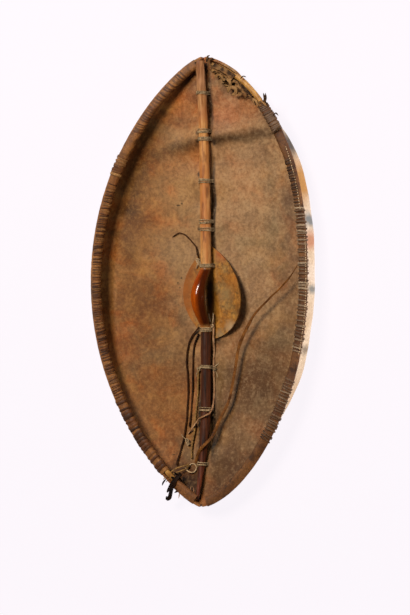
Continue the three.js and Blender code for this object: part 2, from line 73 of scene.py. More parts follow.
# Shape of the dish, as the frame has it
HALF_LENGTH = 475.0
LEFT_HALF_WIDTH, RIGHT_HALF_WIDTH = 242.0, 238.0
RIM_HEIGHT = 62
HIDE_THICKNESS = 5.0
HOOP_RADIUS = 6.0
HOOP_AIR, WALL_AIR = 0.3, 0.45  # least air between a hoop and the hide, at its edge and down its wall
HOOP_PUSH = (0.06, 0.08)  # one step inward and rimward of a hoop that is too near the wall
STICK_X = 3.0
BED_HALF = 16.5  # half width of the flat bed that the stick lies in
KEEL_FLAT = 200.0  # how far up and down the floor of the dish stays level
TIP_END = 0.9988  # where the last row of the hide stands, as a share of the half length
# Heights of the bands along the shield, in groups that gather the hide together, and how much they lift it
LASHINGS = [[398], [319, 302], [213], [127, 110], [-180.6], [-270], [-385]]
GRIP_LASHINGS = [[34.6], [-100.8]]
PUCKER, GRIP_PUCKER = 7.0, 3.7
groups = [(bands, PUCKER) for bands in LASHINGS] + [(bands, GRIP_PUCKER) for bands in GRIP_LASHINGS]


def ease(v):
    v = np.clip(v, 0, 1)
    return v * v * (3 - 2 * v)


def mix(a, b, v):
    return a + (b - a) * v


def half_width(u, left):
    top = u > 0
    power = np.where(top & ~left, 2.5, 2.0)
    taper = np.select([top & left, left, top], [0.77, 0.785, 0.61], 0.63)
    return np.where(left, LEFT_HALF_WIDTH, RIGHT_HALF_WIDTH) * np.clip(1 - np.abs(u) ** power, 0, 1) ** taper


def rim_height(u):
    return RIM_HEIGHT - np.where(u > 0, 24, 14) * np.abs(u) ** 3


def keel_height(y):
    past = np.clip(np.abs(y) - KEEL_FLAT, 0, None) / (HALF_LENGTH - KEEL_FLAT)
    return np.where(y > 0, 22, 30) * past**2


def pucker(x, y):
    across = np.clip(np.abs(x - STICK_X) - BED_HALF, 0, None)
    most = np.zeros(np.broadcast(x, y).shape)
    for bands, draw in groups:
        middle = (bands[0] + bands[-1]) / 2
        half = (bands[0] - bands[-1]) / 2 + 5
        along = np.clip(np.abs(y - middle) - half, 0, None)
        most = np.maximum(most, draw * np.exp(-((across / 25) ** 2) - (along / 30) ** 2))
    return most


def hull(u, s):
    """Points of the outer face: u along the shield, s from -1 at the left rim to 1 at the right."""
    u, s = np.broadcast_arrays(np.asarray(u, float), np.asarray(s, float))
    left = s < 0
    y = u * HALF_LENGTH
    w = half_width(u, left)
    low = keel_height(y)
    deep = rim_height(u) - low
    start = np.where(y > 0, 230, 170)
    flare = ease((np.abs(y) - start) / (np.where(y > 0, 420, 390) - start))
    bulge = mix(6.0, -0.13 * w, flare)
    lean = np.where(bulge > 0, 1.2, 0.45)
    zero = np.zeros_like(w)
    cx = [zero, 0.15 * w, 0.3 * w, 0.7 * w, w + bulge, w + lean * bulge, w]
    cz = [zero, zero, zero, 0.1 * deep, 0.2 * deep, 0.55 * deep, deep]
    spans = len(cx) - 2
    at = np.minimum(np.abs(s) * spans, spans - 1e-9)
    k = np.floor(at).astype(int)
    f = at - k

    def spline(control):
        control = np.array(control)
        pick = lambda i: np.take_along_axis(control, i[None], 0)[0]
        before = np.where(k == 0, pick(k), (pick(k) + pick(k + 1)) / 2)
        after = np.where(k == spans - 1, pick(k + 2), (pick(k + 1) + pick(k + 2)) / 2)
        return before * (1 - f) ** 2 + 2 * pick(k + 1) * f * (1 - f) + after * f**2

    x = np.where(left, -1, 1) * spline(cx)
    return np.stack([x, y, low + spline(cz) + pucker(x, y)], -1)


def unit(v):
    return v / np.maximum(np.linalg.norm(v, axis=-1, keepdims=True), 1e-12)


def run_along(path):
    """How far each point of a path lies along it."""
    return np.concatenate([[0], np.cumsum(np.linalg.norm(np.diff(path, axis=0), axis=1))])


def places_along(path, run, at):
    """Places at given distances along a path, with the distances of its own points."""
    return np.stack([np.interp(at, run, path[:, c]) for c in range(3)], -1)


def hull_frame(u, s):
    """Point, normal into the hollow, and the way up the section towards the rim."""
    u, s = np.broadcast_arrays(np.asarray(u, float), np.asarray(s, float))
    over = unit(hull(u, np.minimum(1, s + 1e-3)) - hull(u, np.maximum(-1, s - 1e-3)))
    along = unit(hull(np.minimum(0.9999, u + 1e-3), s) - hull(np.maximum(-0.9999, u - 1e-3), s))
    normal = unit(np.cross(over, along))
    return hull(u, s), normal, over * np.where(s < 0, -1, 1)[..., None]


# The rim: a frame of its own at each place, with the middle of the hoop in it
class Rim:
    def __init__(self, side):
        self.s = -1.0 if side == "left" else 1.0
        self.u = np.linspace(-0.99, 0.99, 397)
        self.point, self.normal, self.rimward = hull_frame(self.u, np.full_like(self.u, self.s))
        self.far = run_along(self.point)
        lines = np.linspace(1, 0.5, 26)
        wall, inward, _ = hull_frame(self.u[:, None], self.s * lines[None])
        off = wall - self.point[:, None]
        self.wall = self.in_section(off)
        inner = self.in_section(off + inward * HIDE_THICKNESS)
        self.hoop = np.array([self.place_hoop(w) for w in inner])

    def in_section(self, off):
        """Inward and rimward parts of offsets from the rim's points."""
        return np.stack([(off * way[:, None]).sum(-1) for way in (self.normal, self.rimward)], -1)

    def place_hoop(self, wall):
        centre = np.array([HIDE_THICKNESS + HOOP_AIR + HOOP_RADIUS, -HOOP_RADIUS])
        for _ in range(200):
            a, b = wall[1:-1], wall[2:]
            side = b - a
            share = np.clip(((centre - a) * side).sum(-1) / (side**2).sum(-1), 0, 1)[:, None]
            if np.linalg.norm(centre - a - side * share, axis=-1).min() > HOOP_RADIUS + WALL_AIR:
                break
            centre = centre + HOOP_PUSH
        return centre

    def at(self, u):
        """Point, normal, rimward, along, hoop middle and wall line at u, between the samples."""
        i = np.clip(np.searchsorted(self.u, u) - 1, 0, len(self.u) - 2)
        f = (u - self.u[i]) / (self.u[i + 1] - self.u[i])
        tables = (self.point, self.normal, self.rimward, self.hoop, self.wall)
        point, normal, rimward, hoop, wall = (mix(table[i], table[i + 1], f) for table in tables)
        return point, unit(normal), unit(rimward), unit(self.point[i + 1] - self.point[i]), hoop, wall

    def u_at(self, far):
        return float(np.interp(far, self.far, self.u))

    def far_at(self, u):
        return float(np.interp(u, self.u, self.far))


RIMS = {side: Rim(side) for side in ("left", "right")}


# Making meshes
def only(*objects):
    bpy.ops.object.select_all(action="DESELECT")
    for obj in objects:
        obj.select_set(True)
    bpy.context.view_layer.objects.active = objects[0]


def sheet_from(name, points):
    """A grid of squares laid over rows of points."""
    rows, columns = points.shape[:2]
    bpy.ops.object.select_all(action="DESELECT")
    bpy.ops.mesh.primitive_grid_add(x_subdivisions=columns - 1, y_subdivisions=rows - 1, size=1)
    obj = bpy.context.object
    obj.name = obj.data.name = name
    obj.data.vertices.foreach_set("co", to_frame(points).astype(np.float32).ravel())
    obj.data.update()
    return obj


masters = {}


def tube_master(rows, sides):
    """A closed round bar made from a rolled-up grid, and which ring and side each of its points is on."""
    if (rows, sides) not in masters:
        turn = 2 * math.pi * np.arange(sides + 1) / sides
        ring = np.stack([np.cos(turn), 0 * turn, np.sin(turn)], -1) / MM
        along = np.array([0, 1, 0]) * np.arange(rows)[:, None, None] / MM
        obj = sheet_from("bar", ring[None] + along - MIDDLE)
        only(obj)
        bpy.ops.object.mode_set(mode="EDIT")
        bpy.ops.mesh.select_all(action="SELECT")
        bpy.ops.mesh.remove_doubles(threshold=1e-4)
        bpy.ops.mesh.fill_holes(sides=0)
        bpy.ops.mesh.select_all(action="SELECT")
        bpy.ops.mesh.normals_make_consistent(inside=False)
        bpy.ops.object.mode_set(mode="OBJECT")
        co = np.zeros(len(obj.data.vertices) * 3)
        obj.data.vertices.foreach_get("co", co)
        co = co.reshape(-1, 3)
        side = np.round(np.arctan2(co[:, 2], co[:, 0]) / (2 * math.pi / sides)).astype(int) % sides
        mesh = obj.data
        mesh.name = "bar_master"
        bpy.data.objects.remove(obj)
        masters[rows, sides] = (mesh, np.round(co[:, 1]).astype(int), side)
    return masters[rows, sides]


def volume(rings):
    a = rings[:-1].reshape(-1, 3)
    b = np.roll(rings, -1, 1)[:-1].reshape(-1, 3)
    c = np.roll(rings, -1, 1)[1:].reshape(-1, 3)
    d = rings[1:].reshape(-1, 3)
    centre = rings.mean((0, 1))
    a, b, c, d = a - centre, b - centre, c - centre, d - centre
    return float((a * np.cross(b, c)).sum() + (a * np.cross(c, d)).sum())


def tube(name, rings, tone=None):
    """A closed skin over rings of equal length."""
    rings = np.asarray(rings, float)
    if volume(rings) > 0:
        rings = rings[:, ::-1]
    mesh, row, side = tube_master(*rings.shape[:2])
    mesh = mesh.copy()
    mesh.name = name
    mesh.vertices.foreach_set("co", to_frame(rings[row, side]).astype(np.float32).ravel())
    if tone is not None:
        values = np.full(len(row), tone, np.float32)
        mesh.attributes.new("tone", "FLOAT", "POINT").data.foreach_set("value", values)
    mesh.update()
    obj = bpy.data.objects.new(name, mesh)
    bpy.context.scene.collection.objects.link(obj)
    return obj


def joined(name, objects):
    only(*objects)
    if len(objects) > 1:
        bpy.ops.object.join()
    obj = bpy.context.view_layer.objects.active
    obj.name = obj.data.name = name
    return obj


def thicken(obj, thickness, **settings):
    """Gives a sheet its thickness, on the side that it faces."""
    solidify = obj.modifiers.new("thickness", "SOLIDIFY")
    solidify.thickness = thickness * MM
    solidify.offset = 1
    for key, value in settings.items():
        setattr(solidify, key, value)
    only(obj)
    bpy.ops.object.modifier_apply(modifier="thickness")


def finish(obj, material, slot, *nodes, degrees=40):
    """Shades a piece, gives it its material, sets it on the root body and hides the nodes it replaces; slot
    is not used.
    """
    only(obj)
    bpy.ops.object.shade_smooth_by_angle(angle=math.radians(degrees))
    if material:
        obj.data.materials.clear()
        obj.data.materials.append(material)
    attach(obj, "root")
    if nodes:
        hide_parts(*nodes)


def curve_through(route, step):
    """Points every step along a smooth curve through a route."""
    p = np.asarray(route, float)
    p = np.concatenate([[2 * p[0] - p[1]], p, [2 * p[-1] - p[-2]]])
    out = []
    for i in range(1, len(p) - 2):
        a, b, c, d = p[i - 1 : i + 3]
        t0 = 0.0
        t1 = t0 + np.linalg.norm(b - a) ** 0.5
        t2 = t1 + np.linalg.norm(c - b) ** 0.5
        t3 = t2 + np.linalg.norm(d - c) ** 0.5
        for t in np.linspace(t1, t2, 17)[: None if i == len(p) - 3 else -1]:
            ab = a * (t1 - t) / (t1 - t0) + b * (t - t0) / (t1 - t0)
            bc = b * (t2 - t) / (t2 - t1) + c * (t - t1) / (t2 - t1)
            cd = c * (t3 - t) / (t3 - t2) + d * (t - t2) / (t3 - t2)
            abc = ab * (t2 - t) / (t2 - t0) + bc * (t - t0) / (t2 - t0)
            bcd = bc * (t3 - t) / (t3 - t1) + cd * (t - t1) / (t3 - t1)
            out.append(abc * (t2 - t) / (t2 - t1) + bcd * (t - t1) / (t2 - t1))
    out = np.array(out)
    run = run_along(out)
    count = max(2, round(run[-1] / step) + 1)
    return places_along(out, run, np.linspace(0, run[-1], count))


def tangents(path):
    return unit(np.gradient(path, axis=0))


def sides_of(path):
    """Sideways and upward directions along a path, with the sideways ones kept level."""
    along = tangents(path)
    side = unit(np.cross(along, (0.0, 0.0, 1.0)))
    return side, np.cross(side, along)


def carried(path):
    """Sideways and upward directions carried along a path without turning about it."""
    along = tangents(path)
    first = np.array([0, 0, 1.0]) if abs(along[0][2]) < 0.9 else np.array([1.0, 0, 0])
    side = unit(np.cross(along[0], first))
    sides = [side]
    for t in along[1:]:
        side = unit(side - t * side.dot(t))
        sides.append(side)
    sides = np.array(sides)
    return sides, np.cross(sides, along)


def strip_rings(path, wide, thick, side, up, turn=0.0):
    """Rings of a flat strip with rounded edges; wide, thick and turn may change along it."""
    count = len(path)
    wide, thick, turn = (np.broadcast_to(np.asarray(v, float), count) for v in (wide, thick, turn))
    across = np.array([0.5, 0.4, 0.0, -0.4, -0.5, -0.4, 0.0, 0.4])
    height = np.array([0.0, 0.5, 0.42, 0.5, 0.0, -0.5, -0.42, -0.5])
    c, s = np.cos(turn)[:, None], np.sin(turn)[:, None]
    a = wide[:, None] * across * c - thick[:, None] * height * s
    h = wide[:, None] * across * s + thick[:, None] * height * c
    return path[:, None] + a[..., None] * side[:, None] + h[..., None] * up[:, None]


TWIST_WAIST = 0.66  # how thick a twisted thong is across its waist, for one that is 1 wide


def rope_rings(path, radius, pitch, points, start=0.0):
    """Rings of a thong twisted from two strands."""
    side, up = carried(path)
    angle = 2 * math.pi * np.arange(points) / points
    lay = 2 * math.pi * run_along(path) / pitch + start
    r = np.sqrt(np.cos(angle) ** 2 + (TWIST_WAIST * np.sin(angle)) ** 2)
    a = radius * r * np.cos(angle + lay[:, None])
    h = radius * r * np.sin(angle + lay[:, None])
    return path[:, None] + a[..., None] * side[:, None] + h[..., None] * up[:, None]


def taper_ends(path, first, last, least):
    """A thickness factor that narrows over the first and last millimetres of a path."""
    run = run_along(path)
    return mix(least, 1, ease(run / first)) * mix(least, 1, ease((run[-1] - run) / last))


def wander(path, size, seed):
    """A smooth random number along a path, from -1 to 1, changing over size millimetres."""
    return np.array([noise.noise(Vector((p[0] / size + seed, p[1] / size, p[2] / size))) for p in path])


# Materials
def linear(colour):
    value = [int(colour[i : i + 2], 16) / 255 for i in (0, 2, 4)]
    return [c / 12.92 if c <= 0.04045 else ((c + 0.055) / 1.055) ** 2.4 for c in value] + [1.0]


def node(tree, kind, inputs=None, **settings):
    """Adds a node with its settings; inputs are values or the sockets they come from."""
    new = tree.nodes.new(kind)
    for key, value in settings.items():
        setattr(new, key, value)
    for key, value in (inputs or {}).items():
        if isinstance(value, bpy.types.NodeSocket):
            tree.links.new(value, new.inputs[key])
        else:
            new.inputs[key].default_value = value
    return new


class Finish:
    """A material being built: its tree, its shader and the object's own coordinates."""

    def __init__(self, name, roughness=0.8, ior=1.5, **sockets):
        self.material = bpy.data.materials.new(name)
        self.material.use_nodes = True
        self.tree = self.material.node_tree
        self.tree.nodes.clear()
        self.shader = node(self.tree, "ShaderNodeBsdfPrincipled", {"Roughness": roughness, "IOR": ior})
        for socket, value in sockets.items():
            self.shader.inputs[socket.replace("_", " ")].default_value = value
        node(self.tree, "ShaderNodeOutputMaterial", {"Surface": self.shader.outputs["BSDF"]})
        self.here = node(self.tree, "ShaderNodeTexCoord").outputs["Object"]

    def math(self, operation, a, b=0.0):
        return node(self.tree, "ShaderNodeMath", {0: a, 1: b}, operation=operation).outputs[0]

    def vector(self, operation, inputs, output=0):
        return node(self.tree, "ShaderNodeVectorMath", inputs, operation=operation).outputs[output]

    def spread(self, value, low, high, to_low=0.0, to_high=1.0):
        names = {"Value": value, "From Min": low, "From Max": high, "To Min": to_low, "To Max": to_high}
        return node(self.tree, "ShaderNodeMapRange", names).outputs["Result"]

    def noise(self, size, detail=3.0, rough=0.55, stretch=None, shift=0.0, distort=0.0):
        """Smooth noise whose patches are about size millimetres across."""
        at = self.here
        if stretch or shift:
            names = {"Vector": at, "Scale": stretch or (1, 1, 1), "Location": (shift, shift, shift)}
            at = node(self.tree, "ShaderNodeMapping", names).outputs["Vector"]
        names = {"Vector": at, "Scale": 500 / size}
        names |= {"Detail": detail, "Roughness": rough, "Distortion": distort}
        return node(self.tree, "ShaderNodeTexNoise", names).outputs["Fac"]

    def cells(self, size):
        """Distance from the middles of specks that lie about size millimetres apart."""
        names = {"Vector": self.here, "Scale": 1000 / size}
        return node(self.tree, "ShaderNodeTexVoronoi", names, feature="F1").outputs["Distance"]

    def tone(self):
        """The tone that each strip or point of a piece carries, from dark at nought to light at one."""
        return node(self.tree, "ShaderNodeAttribute", attribute_name="tone").outputs["Fac"]

    def blend(self, share, a, b, kind="MIX"):
        a = linear(a) if isinstance(a, str) else a
        b = linear(b) if isinstance(b, str) else b
        names = {0: share, 6: a, 7: b}
        made = node(self.tree, "ShaderNodeMix", names, data_type="RGBA", blend_type=kind, clamp_result=True)
        return made.outputs[2]

    def axis(self, name):
        return node(self.tree, "ShaderNodeSeparateXYZ", {"Vector": self.here}).outputs[name]

    def spot(self, centre, size, soft, wobble, squash=(1, 1, 1)):
        """A soft-edged patch about a place in millimetres, one in its middle and nought outside."""
        names = {"Vector": self.here, "Scale": 500 / (size * 0.6), "Detail": 3.0}
        ragged = node(self.tree, "ShaderNodeTexNoise", names).outputs["Color"]
        push = self.vector("SUBTRACT", {0: ragged, 1: (0.5, 0.5, 0.5)})
        push = self.vector("SCALE", {0: push, "Scale": wobble * size * MM})
        at = self.vector("ADD", {0: self.here, 1: push})
        off = self.vector("SUBTRACT", {0: at, 1: [float(c) for c in to_frame(centre)]})
        off = self.vector("MULTIPLY", {0: off, 1: squash})
        far = self.vector("LENGTH", {0: off}, "Value")
        return self.spread(far, size * MM * (1 - soft), size * MM, 1.0, 0.0)

    def dab(self, colour, shade, share, *where):
        """A colour with one soft patch of another over it; where is what spot takes."""
        return self.blend(self.math("MULTIPLY", self.spot(*where), share), colour, shade)

    def end(self, colour, height=None, depth=1.0, roughness=None):
        if isinstance(colour, str):
            self.shader.inputs["Base Color"].default_value = linear(colour)
        else:
            self.tree.links.new(colour, self.shader.inputs["Base Color"])
        if roughness is not None:
            self.tree.links.new(roughness, self.shader.inputs["Roughness"])
        if height is not None:
            names = {"Height": height, "Distance": depth * MM, "Strength": 1.0}
            bump = node(self.tree, "ShaderNodeBump", names).outputs["Normal"]
            self.tree.links.new(bump, self.shader.inputs["Normal"])
        return self.material


# Cords and loose thongs
THONGS = {
    "thong_grip_curl": [
        [-13.5, 44, 14.8], [-16, 51, 14.4], [-19, 60, 14.2], [-21, 68, 12], [-23, 74, 10], [-29.8, 82, 9.4],
        [-35, 88, 9.4], [-41, 93.5, 9.2], [-46.5, 98.5, 8.8], [-52.6, 101.9, 8.4], [-61.7, 104, 7.9],
        [-66, 102.5, 7.9], [-70.6, 99.8, 8], [-77.3, 95.5, 8.1],
    ],
    "thong_outer": [
        [-14, -96, 15], [-21, -104, 14], [-28, -111, 11.5], [-34, -120, 9.8], [-39.2, -131, 9],
        [-43.5, -152, 9.2], [-44.3, -175, 10], [-42, -196, 10.2], [-41.2, -217.4, 9.4],
        [-40.8, -242.6, 10.2], [-41.5, -265.7, 12.2], [-43, -290.9, 12.9], [-46, -314, 14.2],
        [-49, -337, 16.6], [-53, -352, 18.8], [-56, -366.4, 21.6], [-59.5, -380, 25], [-60.5, -389, 28.5],
    ],
    "thong_inner": [
        [-16, -110, 13.5], [-21, -120, 11], [-26.7, -133, 9.5], [-28.7, -154, 10.6], [-28.9, -175, 12.4],
        [-29.8, -198, 11.4], [-30.6, -223, 10.2], [-31.1, -253, 12.5], [-32.6, -280, 14.4],
        [-34.5, -295, 14], [-37, -308, 14.2],
    ],
    "thong_twisted": [
        [-14.5, -186, 16], [-16.5, -200, 13.6], [-17.8, -215, 11.6], [-18, -240, 12.2], [-19.4, -268, 17],
        [-21.3, -286, 16.2], [-22.5, -303, 15.3], [-24.5, -320, 15.6], [-27.5, -337, 17.2],
        [-28.5, -358, 21.6], [-26.5, -374, 26.4],
    ],
    "thong_light": [
        [18, -68, 16.8], [18.6, -82, 16.8], [19, -96, 16.8], [19, -108, 16.8], [18.4, -118, 16.4],
        [18, -128, 13.6], [18, -140, 11], [18.4, -160, 12.2], [18.8, -180, 15], [18.6, -196, 13.8],
        [18.2, -216, 10.6], [18.4, -240, 12], [18.8, -256, 17], [18.8, -268, 24], [15.5, -277.5, 31.5],
        [8, -282, 34.6], [-1, -286, 34.4], [-9.5, -290, 29], [-15, -295, 23], [-22, -303.5, 21.8],
        [-29, -311, 18.6], [-34.5, -317, 15.6], [-40, -322.5, 15],
    ],
    "thong_loop": [
        [-42, -393, 26.6], [-38, -398, 27.2], [-33, -402, 28], [-27, -403.5, 28.8], [-21, -402.5, 29.2],
        [-16, -398, 29.4], [-15, -391.5, 29], [-18.5, -386.5, 28], [-24.5, -385, 27.2], [-30, -387, 26.8],
        [-32, -392, 27],
    ],
    "strap_long": [
        [-17, -384, 27.6], [-14.5, -374, 29], [-10, -364, 33.5], [-4, -355, 38.4], [3, -348, 39.4],
        [10.5, -340, 38.2], [19.2, -331, 35], [24.9, -320, 31.5], [29.4, -308.7, 29], [36.2, -291, 27],
        [45.2, -274, 25.5], [53.5, -257, 24], [58.8, -240, 23.4], [62.2, -223.7, 23], [67.3, -198.5, 23.8],
        [71.7, -175, 25], [79.3, -138, 27.4], [91.2, -110, 29.4], [104.9, -86, 31.4], [114.8, -70.4, 32.8],
        [128.7, -55.7, 34.4], [140.3, -45, 35.6], [154.4, -31.5, 37], [170.5, -18, 38.6],
        [182.1, -6.3, 39.8], [193.7, 5.3, 41], [204.1, 19, 42.3], [213.5, 33, 43.6],
    ],
}
# Widths of the strands and the strap
CORD = 4.0
CURL = 3.0
TWISTED = 5.0
STRAP = 7.0
THONG_WIDTHS = {"thong_twisted": TWISTED, "thong_grip_curl": CURL, "thong_loop": CURL, "strap_long": STRAP}


# Thong hide: cut strips of rawhide, handled until dark, paler where the cut edges are worn
def thong_hide(name, body, dark, edge, rough=0.62):
    f = Finish(name, roughness=rough, ior=1.5, Specular_IOR_Level=0.15)
    patches = f.noise(9, 3, shift=3.1)
    grain = f.noise(1.6, 2)  # finer fibres than this can't be seen, so they are drawn this coarse
    colour = f.blend(f.spread(patches, 0.35, 0.68), body, dark)
    uv = node(f.tree, "ShaderNodeUVMap").outputs["UV"]
    around = node(f.tree, "ShaderNodeSeparateXYZ", {"Vector": uv}).outputs["X"]
    wave = f.math("MULTIPLY", around, 4 * math.pi)
    worn = f.spread(f.math("COSINE", wave), 0.72, 1.0)
    worn = f.math("MULTIPLY", worn, f.spread(patches, 0.3, 0.6, 0.9, 0.25))
    colour = f.blend(worn, colour, edge)
    colour = f.blend(f.spread(grain, 0.3, 0.75, 0.0, 0.5), colour, dark, "MULTIPLY")
    return f.end(colour, grain, 0.35)


# Twisted thong: two strips of dried hide laid round each other, dull and dusty, paler on their backs
def twisted_hide(name, body, dark, edge):
    f = Finish(name, roughness=0.75, ior=1.5, Specular_IOR_Level=0.25)
    patches = f.noise(7, 3, shift=1.3)
    grain = f.noise(1.3, 2)
    colour = f.blend(f.spread(patches, 0.35, 0.65), body, dark)
    colour = f.blend(f.spread(grain, 0.35, 0.75, 0.0, 0.55), colour, edge)
    return f.end(colour, grain, 0.4)


dark_thong = thong_hide("dark_handled_thong", "4a2a12", "1d0e05", "8c5f31", 0.78)
black_thong = thong_hide("blackened_thong", "27160c", "0e0704", "5a3420")
gold_thong = twisted_hide("golden_thong", "8c6636", "3c2713", "b8925a")
red_thong = thong_hide("light_edged_thong", "bb9570", "7d5233", "e2c6a2")
strap_hide = thong_hide("strap_hide", "8f5c2d", "4f2e15", "c08d52")
grey_twist = twisted_hide("greyed_twisted_thong", "a68d6b", "5a442c", "d6bf9a")
cream_thong = twisted_hide("cream_thong", "c4a782", "7c5c3c", "e0cba8")

THONG_FINISHES = {
    "thong_twisted": gold_thong, "thong_light": red_thong,
    "thong_loop": cream_thong, "strap_long": strap_hide,
}
for name, route in THONGS.items():
    wide = THONG_WIDTHS.get(name, CORD)
    path = curve_through(route, 2.5 if name == "strap_long" else 1.5)
    if name == "thong_twisted":
        rings = rope_rings(path, TWISTED / 2, 13, points=12)
    elif wide == CURL:
        side, up = carried(path)
        width = 0.94 * wide * taper_ends(path, 4, 10, 0.5)
        rings = strip_rings(path, width, 2.1 * taper_ends(path, 4, 10, 0.6), side, up)
    else:
        side, up = sides_of(path)
        turn = 0.5 * wander(path, 60, 5.0)
        thick = 2.0 if name == "strap_long" else 2.3
        far = np.linspace(0, 1, len(path))
        width = wide * (1 + 0.12 * wander(path, 25, 9.0))
        if name == "strap_long":
            width = width * mix(1, 0.6, ease((far - 0.62) / 0.2)) * mix(1, 0.45, ease((far - 0.9) / 0.1))
        rings = strip_rings(path, 0.95 * width, thick, side, up, turn)
    piece = tube(name + "_hide", rings)
    finish(piece, THONG_FINISHES.get(name, dark_thong), "thong", name, degrees=60)


# Light and floor: a broad soft light, two low ones at the right, a gleam for the grip, and a white floor
def area_light(name, place, towards, size, power, colour, height):
    data = bpy.data.lights.new(name, "AREA")
    data.shape = "RECTANGLE"
    data.size, data.size_y = size, height
    data.energy = power
    data.color = linear(colour)[:3]
    lamp = bpy.data.objects.new(name, data)
    lamp.location = place
    look = (Vector(towards) - Vector(place)).normalized()
    right = look.cross(Vector((0, 1, 0))).normalized()
    lamp.rotation_euler = Matrix((right, right.cross(look), -look)).transposed().to_euler()
    bpy.context.scene.collection.objects.link(lamp)
    return lamp


key_light = area_light("key_light", (-0.86, 1.5, 3.6), (0, 0, 0), 1.35, 183, "fff3e2", height=1.2)
key_light.visible_glossy = False
side_light = area_light("side_light", (1.9, 0, 0.08), (0, 0, 0.08), 0.14, 23, "fff6ee", height=2.4)
side_light.visible_glossy = False
fill_light = area_light("fill_light", (1.9, 0, 0.75), (0, 0, 0.05), 0.9, 12, "fff6ee", height=0.6)
fill_light.visible_glossy = False
strip_light = area_light("strip_light", (-1.05, 2.5, 2.7), (0, 0, 0), 0.3, 150, "fff8ee", height=2.6)
strip_light.visible_diffuse = False
world = bpy.data.worlds.new("studio")
world.use_nodes = True
world.node_tree.nodes["Background"].inputs["Color"].default_value = linear("f4f2f6")
world.node_tree.nodes["Background"].inputs["Strength"].default_value = 0.03
bpy.context.scene.world = world

bpy.ops.object.select_all(action="DESELECT")
bpy.ops.mesh.primitive_plane_add(size=9, location=(0, 0, 0))
floor = bpy.context.object
floor.name = "floor"
# Matt white paper that stays bright beside the shield, so that only its contact shadow shows
paper = Finish("pale_studio_paper", roughness=0.9)
paper.shader.inputs["Emission Color"].default_value = linear("fdf8fe")
paper.shader.inputs["Emission Strength"].default_value = 0.93
floor.data.materials.append(paper.end("454346"))


# Painted shade and light, and patches: place, reach, how much it is squeezed each way, colour and strength
# The dark patches in the folds, up the left wall and beside the stick are painted shade;
# the pale ones along the fold crests are painted light, and the rest are colour patches of the hide
HIDE_PAINTED_LIGHT_AND_PATCHES = [
    ((30, 296, 18), 24, (1, 1.5), "23150a", 0.8),
    ((66, 300, 12), 44, (0.8, 2.6), "271609", 0.9),
    ((112, 312, 16), 46, (0.8, 2.6), "38230f", 0.85),
    ((60, 322, 20), 40, (0.7, 2.2), "a67c55", 0.5),
    ((110, 336, 24), 40, (0.7, 2.2), "9d7650", 0.5),
    ((70, 284, 14), 40, (0.6, 2.4), "a88058", 0.5),
    ((-32, 291, 16), 32, (0.8, 1.7), "3e3120", 0.75),
    ((-66, 284, 12), 38, (0.8, 2.2), "43321f", 0.65),
    ((-104, 268, 16), 38, (0.8, 1.8), "4a3420", 0.6),
    ((-40, 318, 16), 36, (0.7, 2), "b08456", 0.5),
    ((-166, 196, 20), 56, (1.3, 0.8), "3a2513", 0.7),
    ((-140, 262, 24), 50, (1.2, 0.7), "33200f", 0.6),
    ((-150, 130, 20), 34, (0.7, 1.3), "54301a", 0.6),
    ((-20, 262, 10), 34, (1, 0.8), "b56a2c", 0.6),
    ((-52, 395, 24), 44, (1, 0.8), "ab5c2a", 0.55),
    ((40, 355, 22), 40, (1, 0.8), "b57a58", 0.5),
    ((-178, 152, 20), 30, (1, 1), "26170b", 0.75),
    ((-176, 60, 20), 40, (1.2, 0.7), "4a3018", 0.6),
    ((-136, 330, 26), 46, (1.3, 0.9), "3b2210", 0.7),
    ((-40, 425, 30), 34, (1, 1), "452a17", 0.6),
    ((-34, -422, 36), 44, (1, 1), "21130a", 0.85),
    ((-62, -396, 34), 26, (1, 1), "2c1a0d", 0.7),
    ((26, -300, 14), 22, (1.4, 0.16), "1c1009", 0.85),
    ((-12, -290, 14), 17, (1.4, 0.13), "1c1009", 0.8),
    ((17, 150, 6), 13, (1.6, 0.11), "120a05", 0.9),
    ((15, 380, 16), 9, (1.6, 0.09), "120a05", 0.9),
    ((29, -214, 10), 16, (1.2, 0.2), "8f6d3c", 0.5),
    ((90, -400, 34), 60, (0.8, 1.4), "4a301b", 0.65),
    ((52, 405, 26), 26, (1, 1), "3c2616", 0.5),
    ((34, -440, 36), 44, (1, 1), "3a2212", 0.8),
    ((-24, -432, 36), 40, (1, 1), "1f120a", 0.85),
    ((-48, -395, 36), 30, (1, 1), "2f1c0f", 0.6),
    ((84, 404, 34), 14, (1, 1), "20140c", 0.8),
    ((190, -60, 30), 60, (1.4, 0.5), "4b3320", 0.55),
    ((176, -190, 30), 60, (1.3, 0.6), "54391f", 0.5),
    ((188, 170, 30), 50, (1.4, 0.6), "5a4230", 0.5),
    ((24, -118, 6), 26, (1, 0.6), "3c2614", 0.6),
    ((30, 0, 6), 130, (1, 0.7), "a58a68", 0.45),
    ((-60, 60, 6), 80, (1, 0.8), "a08562", 0.45),
    ((90, 236, 10), 110, (1, 1), "ab8862", 0.5),
    ((60, 150, 8), 90, (1, 1), "a68460", 0.4),
    ((-60, 190, 8), 90, (1, 1), "ae895c", 0.45),
    ((110, -220, 15), 130, (1, 0.8), "4e341d", 0.75),
    ((60, -370, 26), 80, (1, 1), "4c331d", 0.6),
    ((-150, -60, 12), 100, (1.4, 0.5), "6e4520", 0.45),
    ((-90, -260, 15), 120, (1, 0.8), "774a22", 0.5),
    ((-60, -140, 10), 70, (1, 1), "7a5c3a", 0.4),
]
# Painted shadow in the crack between hide and stick: place, reach and squeeze
HIDE_PAINTED_GAP_SHADOWS = [
    ((16.8, 150, 6), 7, (1, 0.05)),
    ((11.5, 395, 16), 5, (1, 0.065)),
    ((25, -112, 6), 10, (1, 0.5)),
    ((18, -300, 14), 6.5, (1, 0.06)),
    ((-13, -300, 14), 4, (1, 0.05)),
]
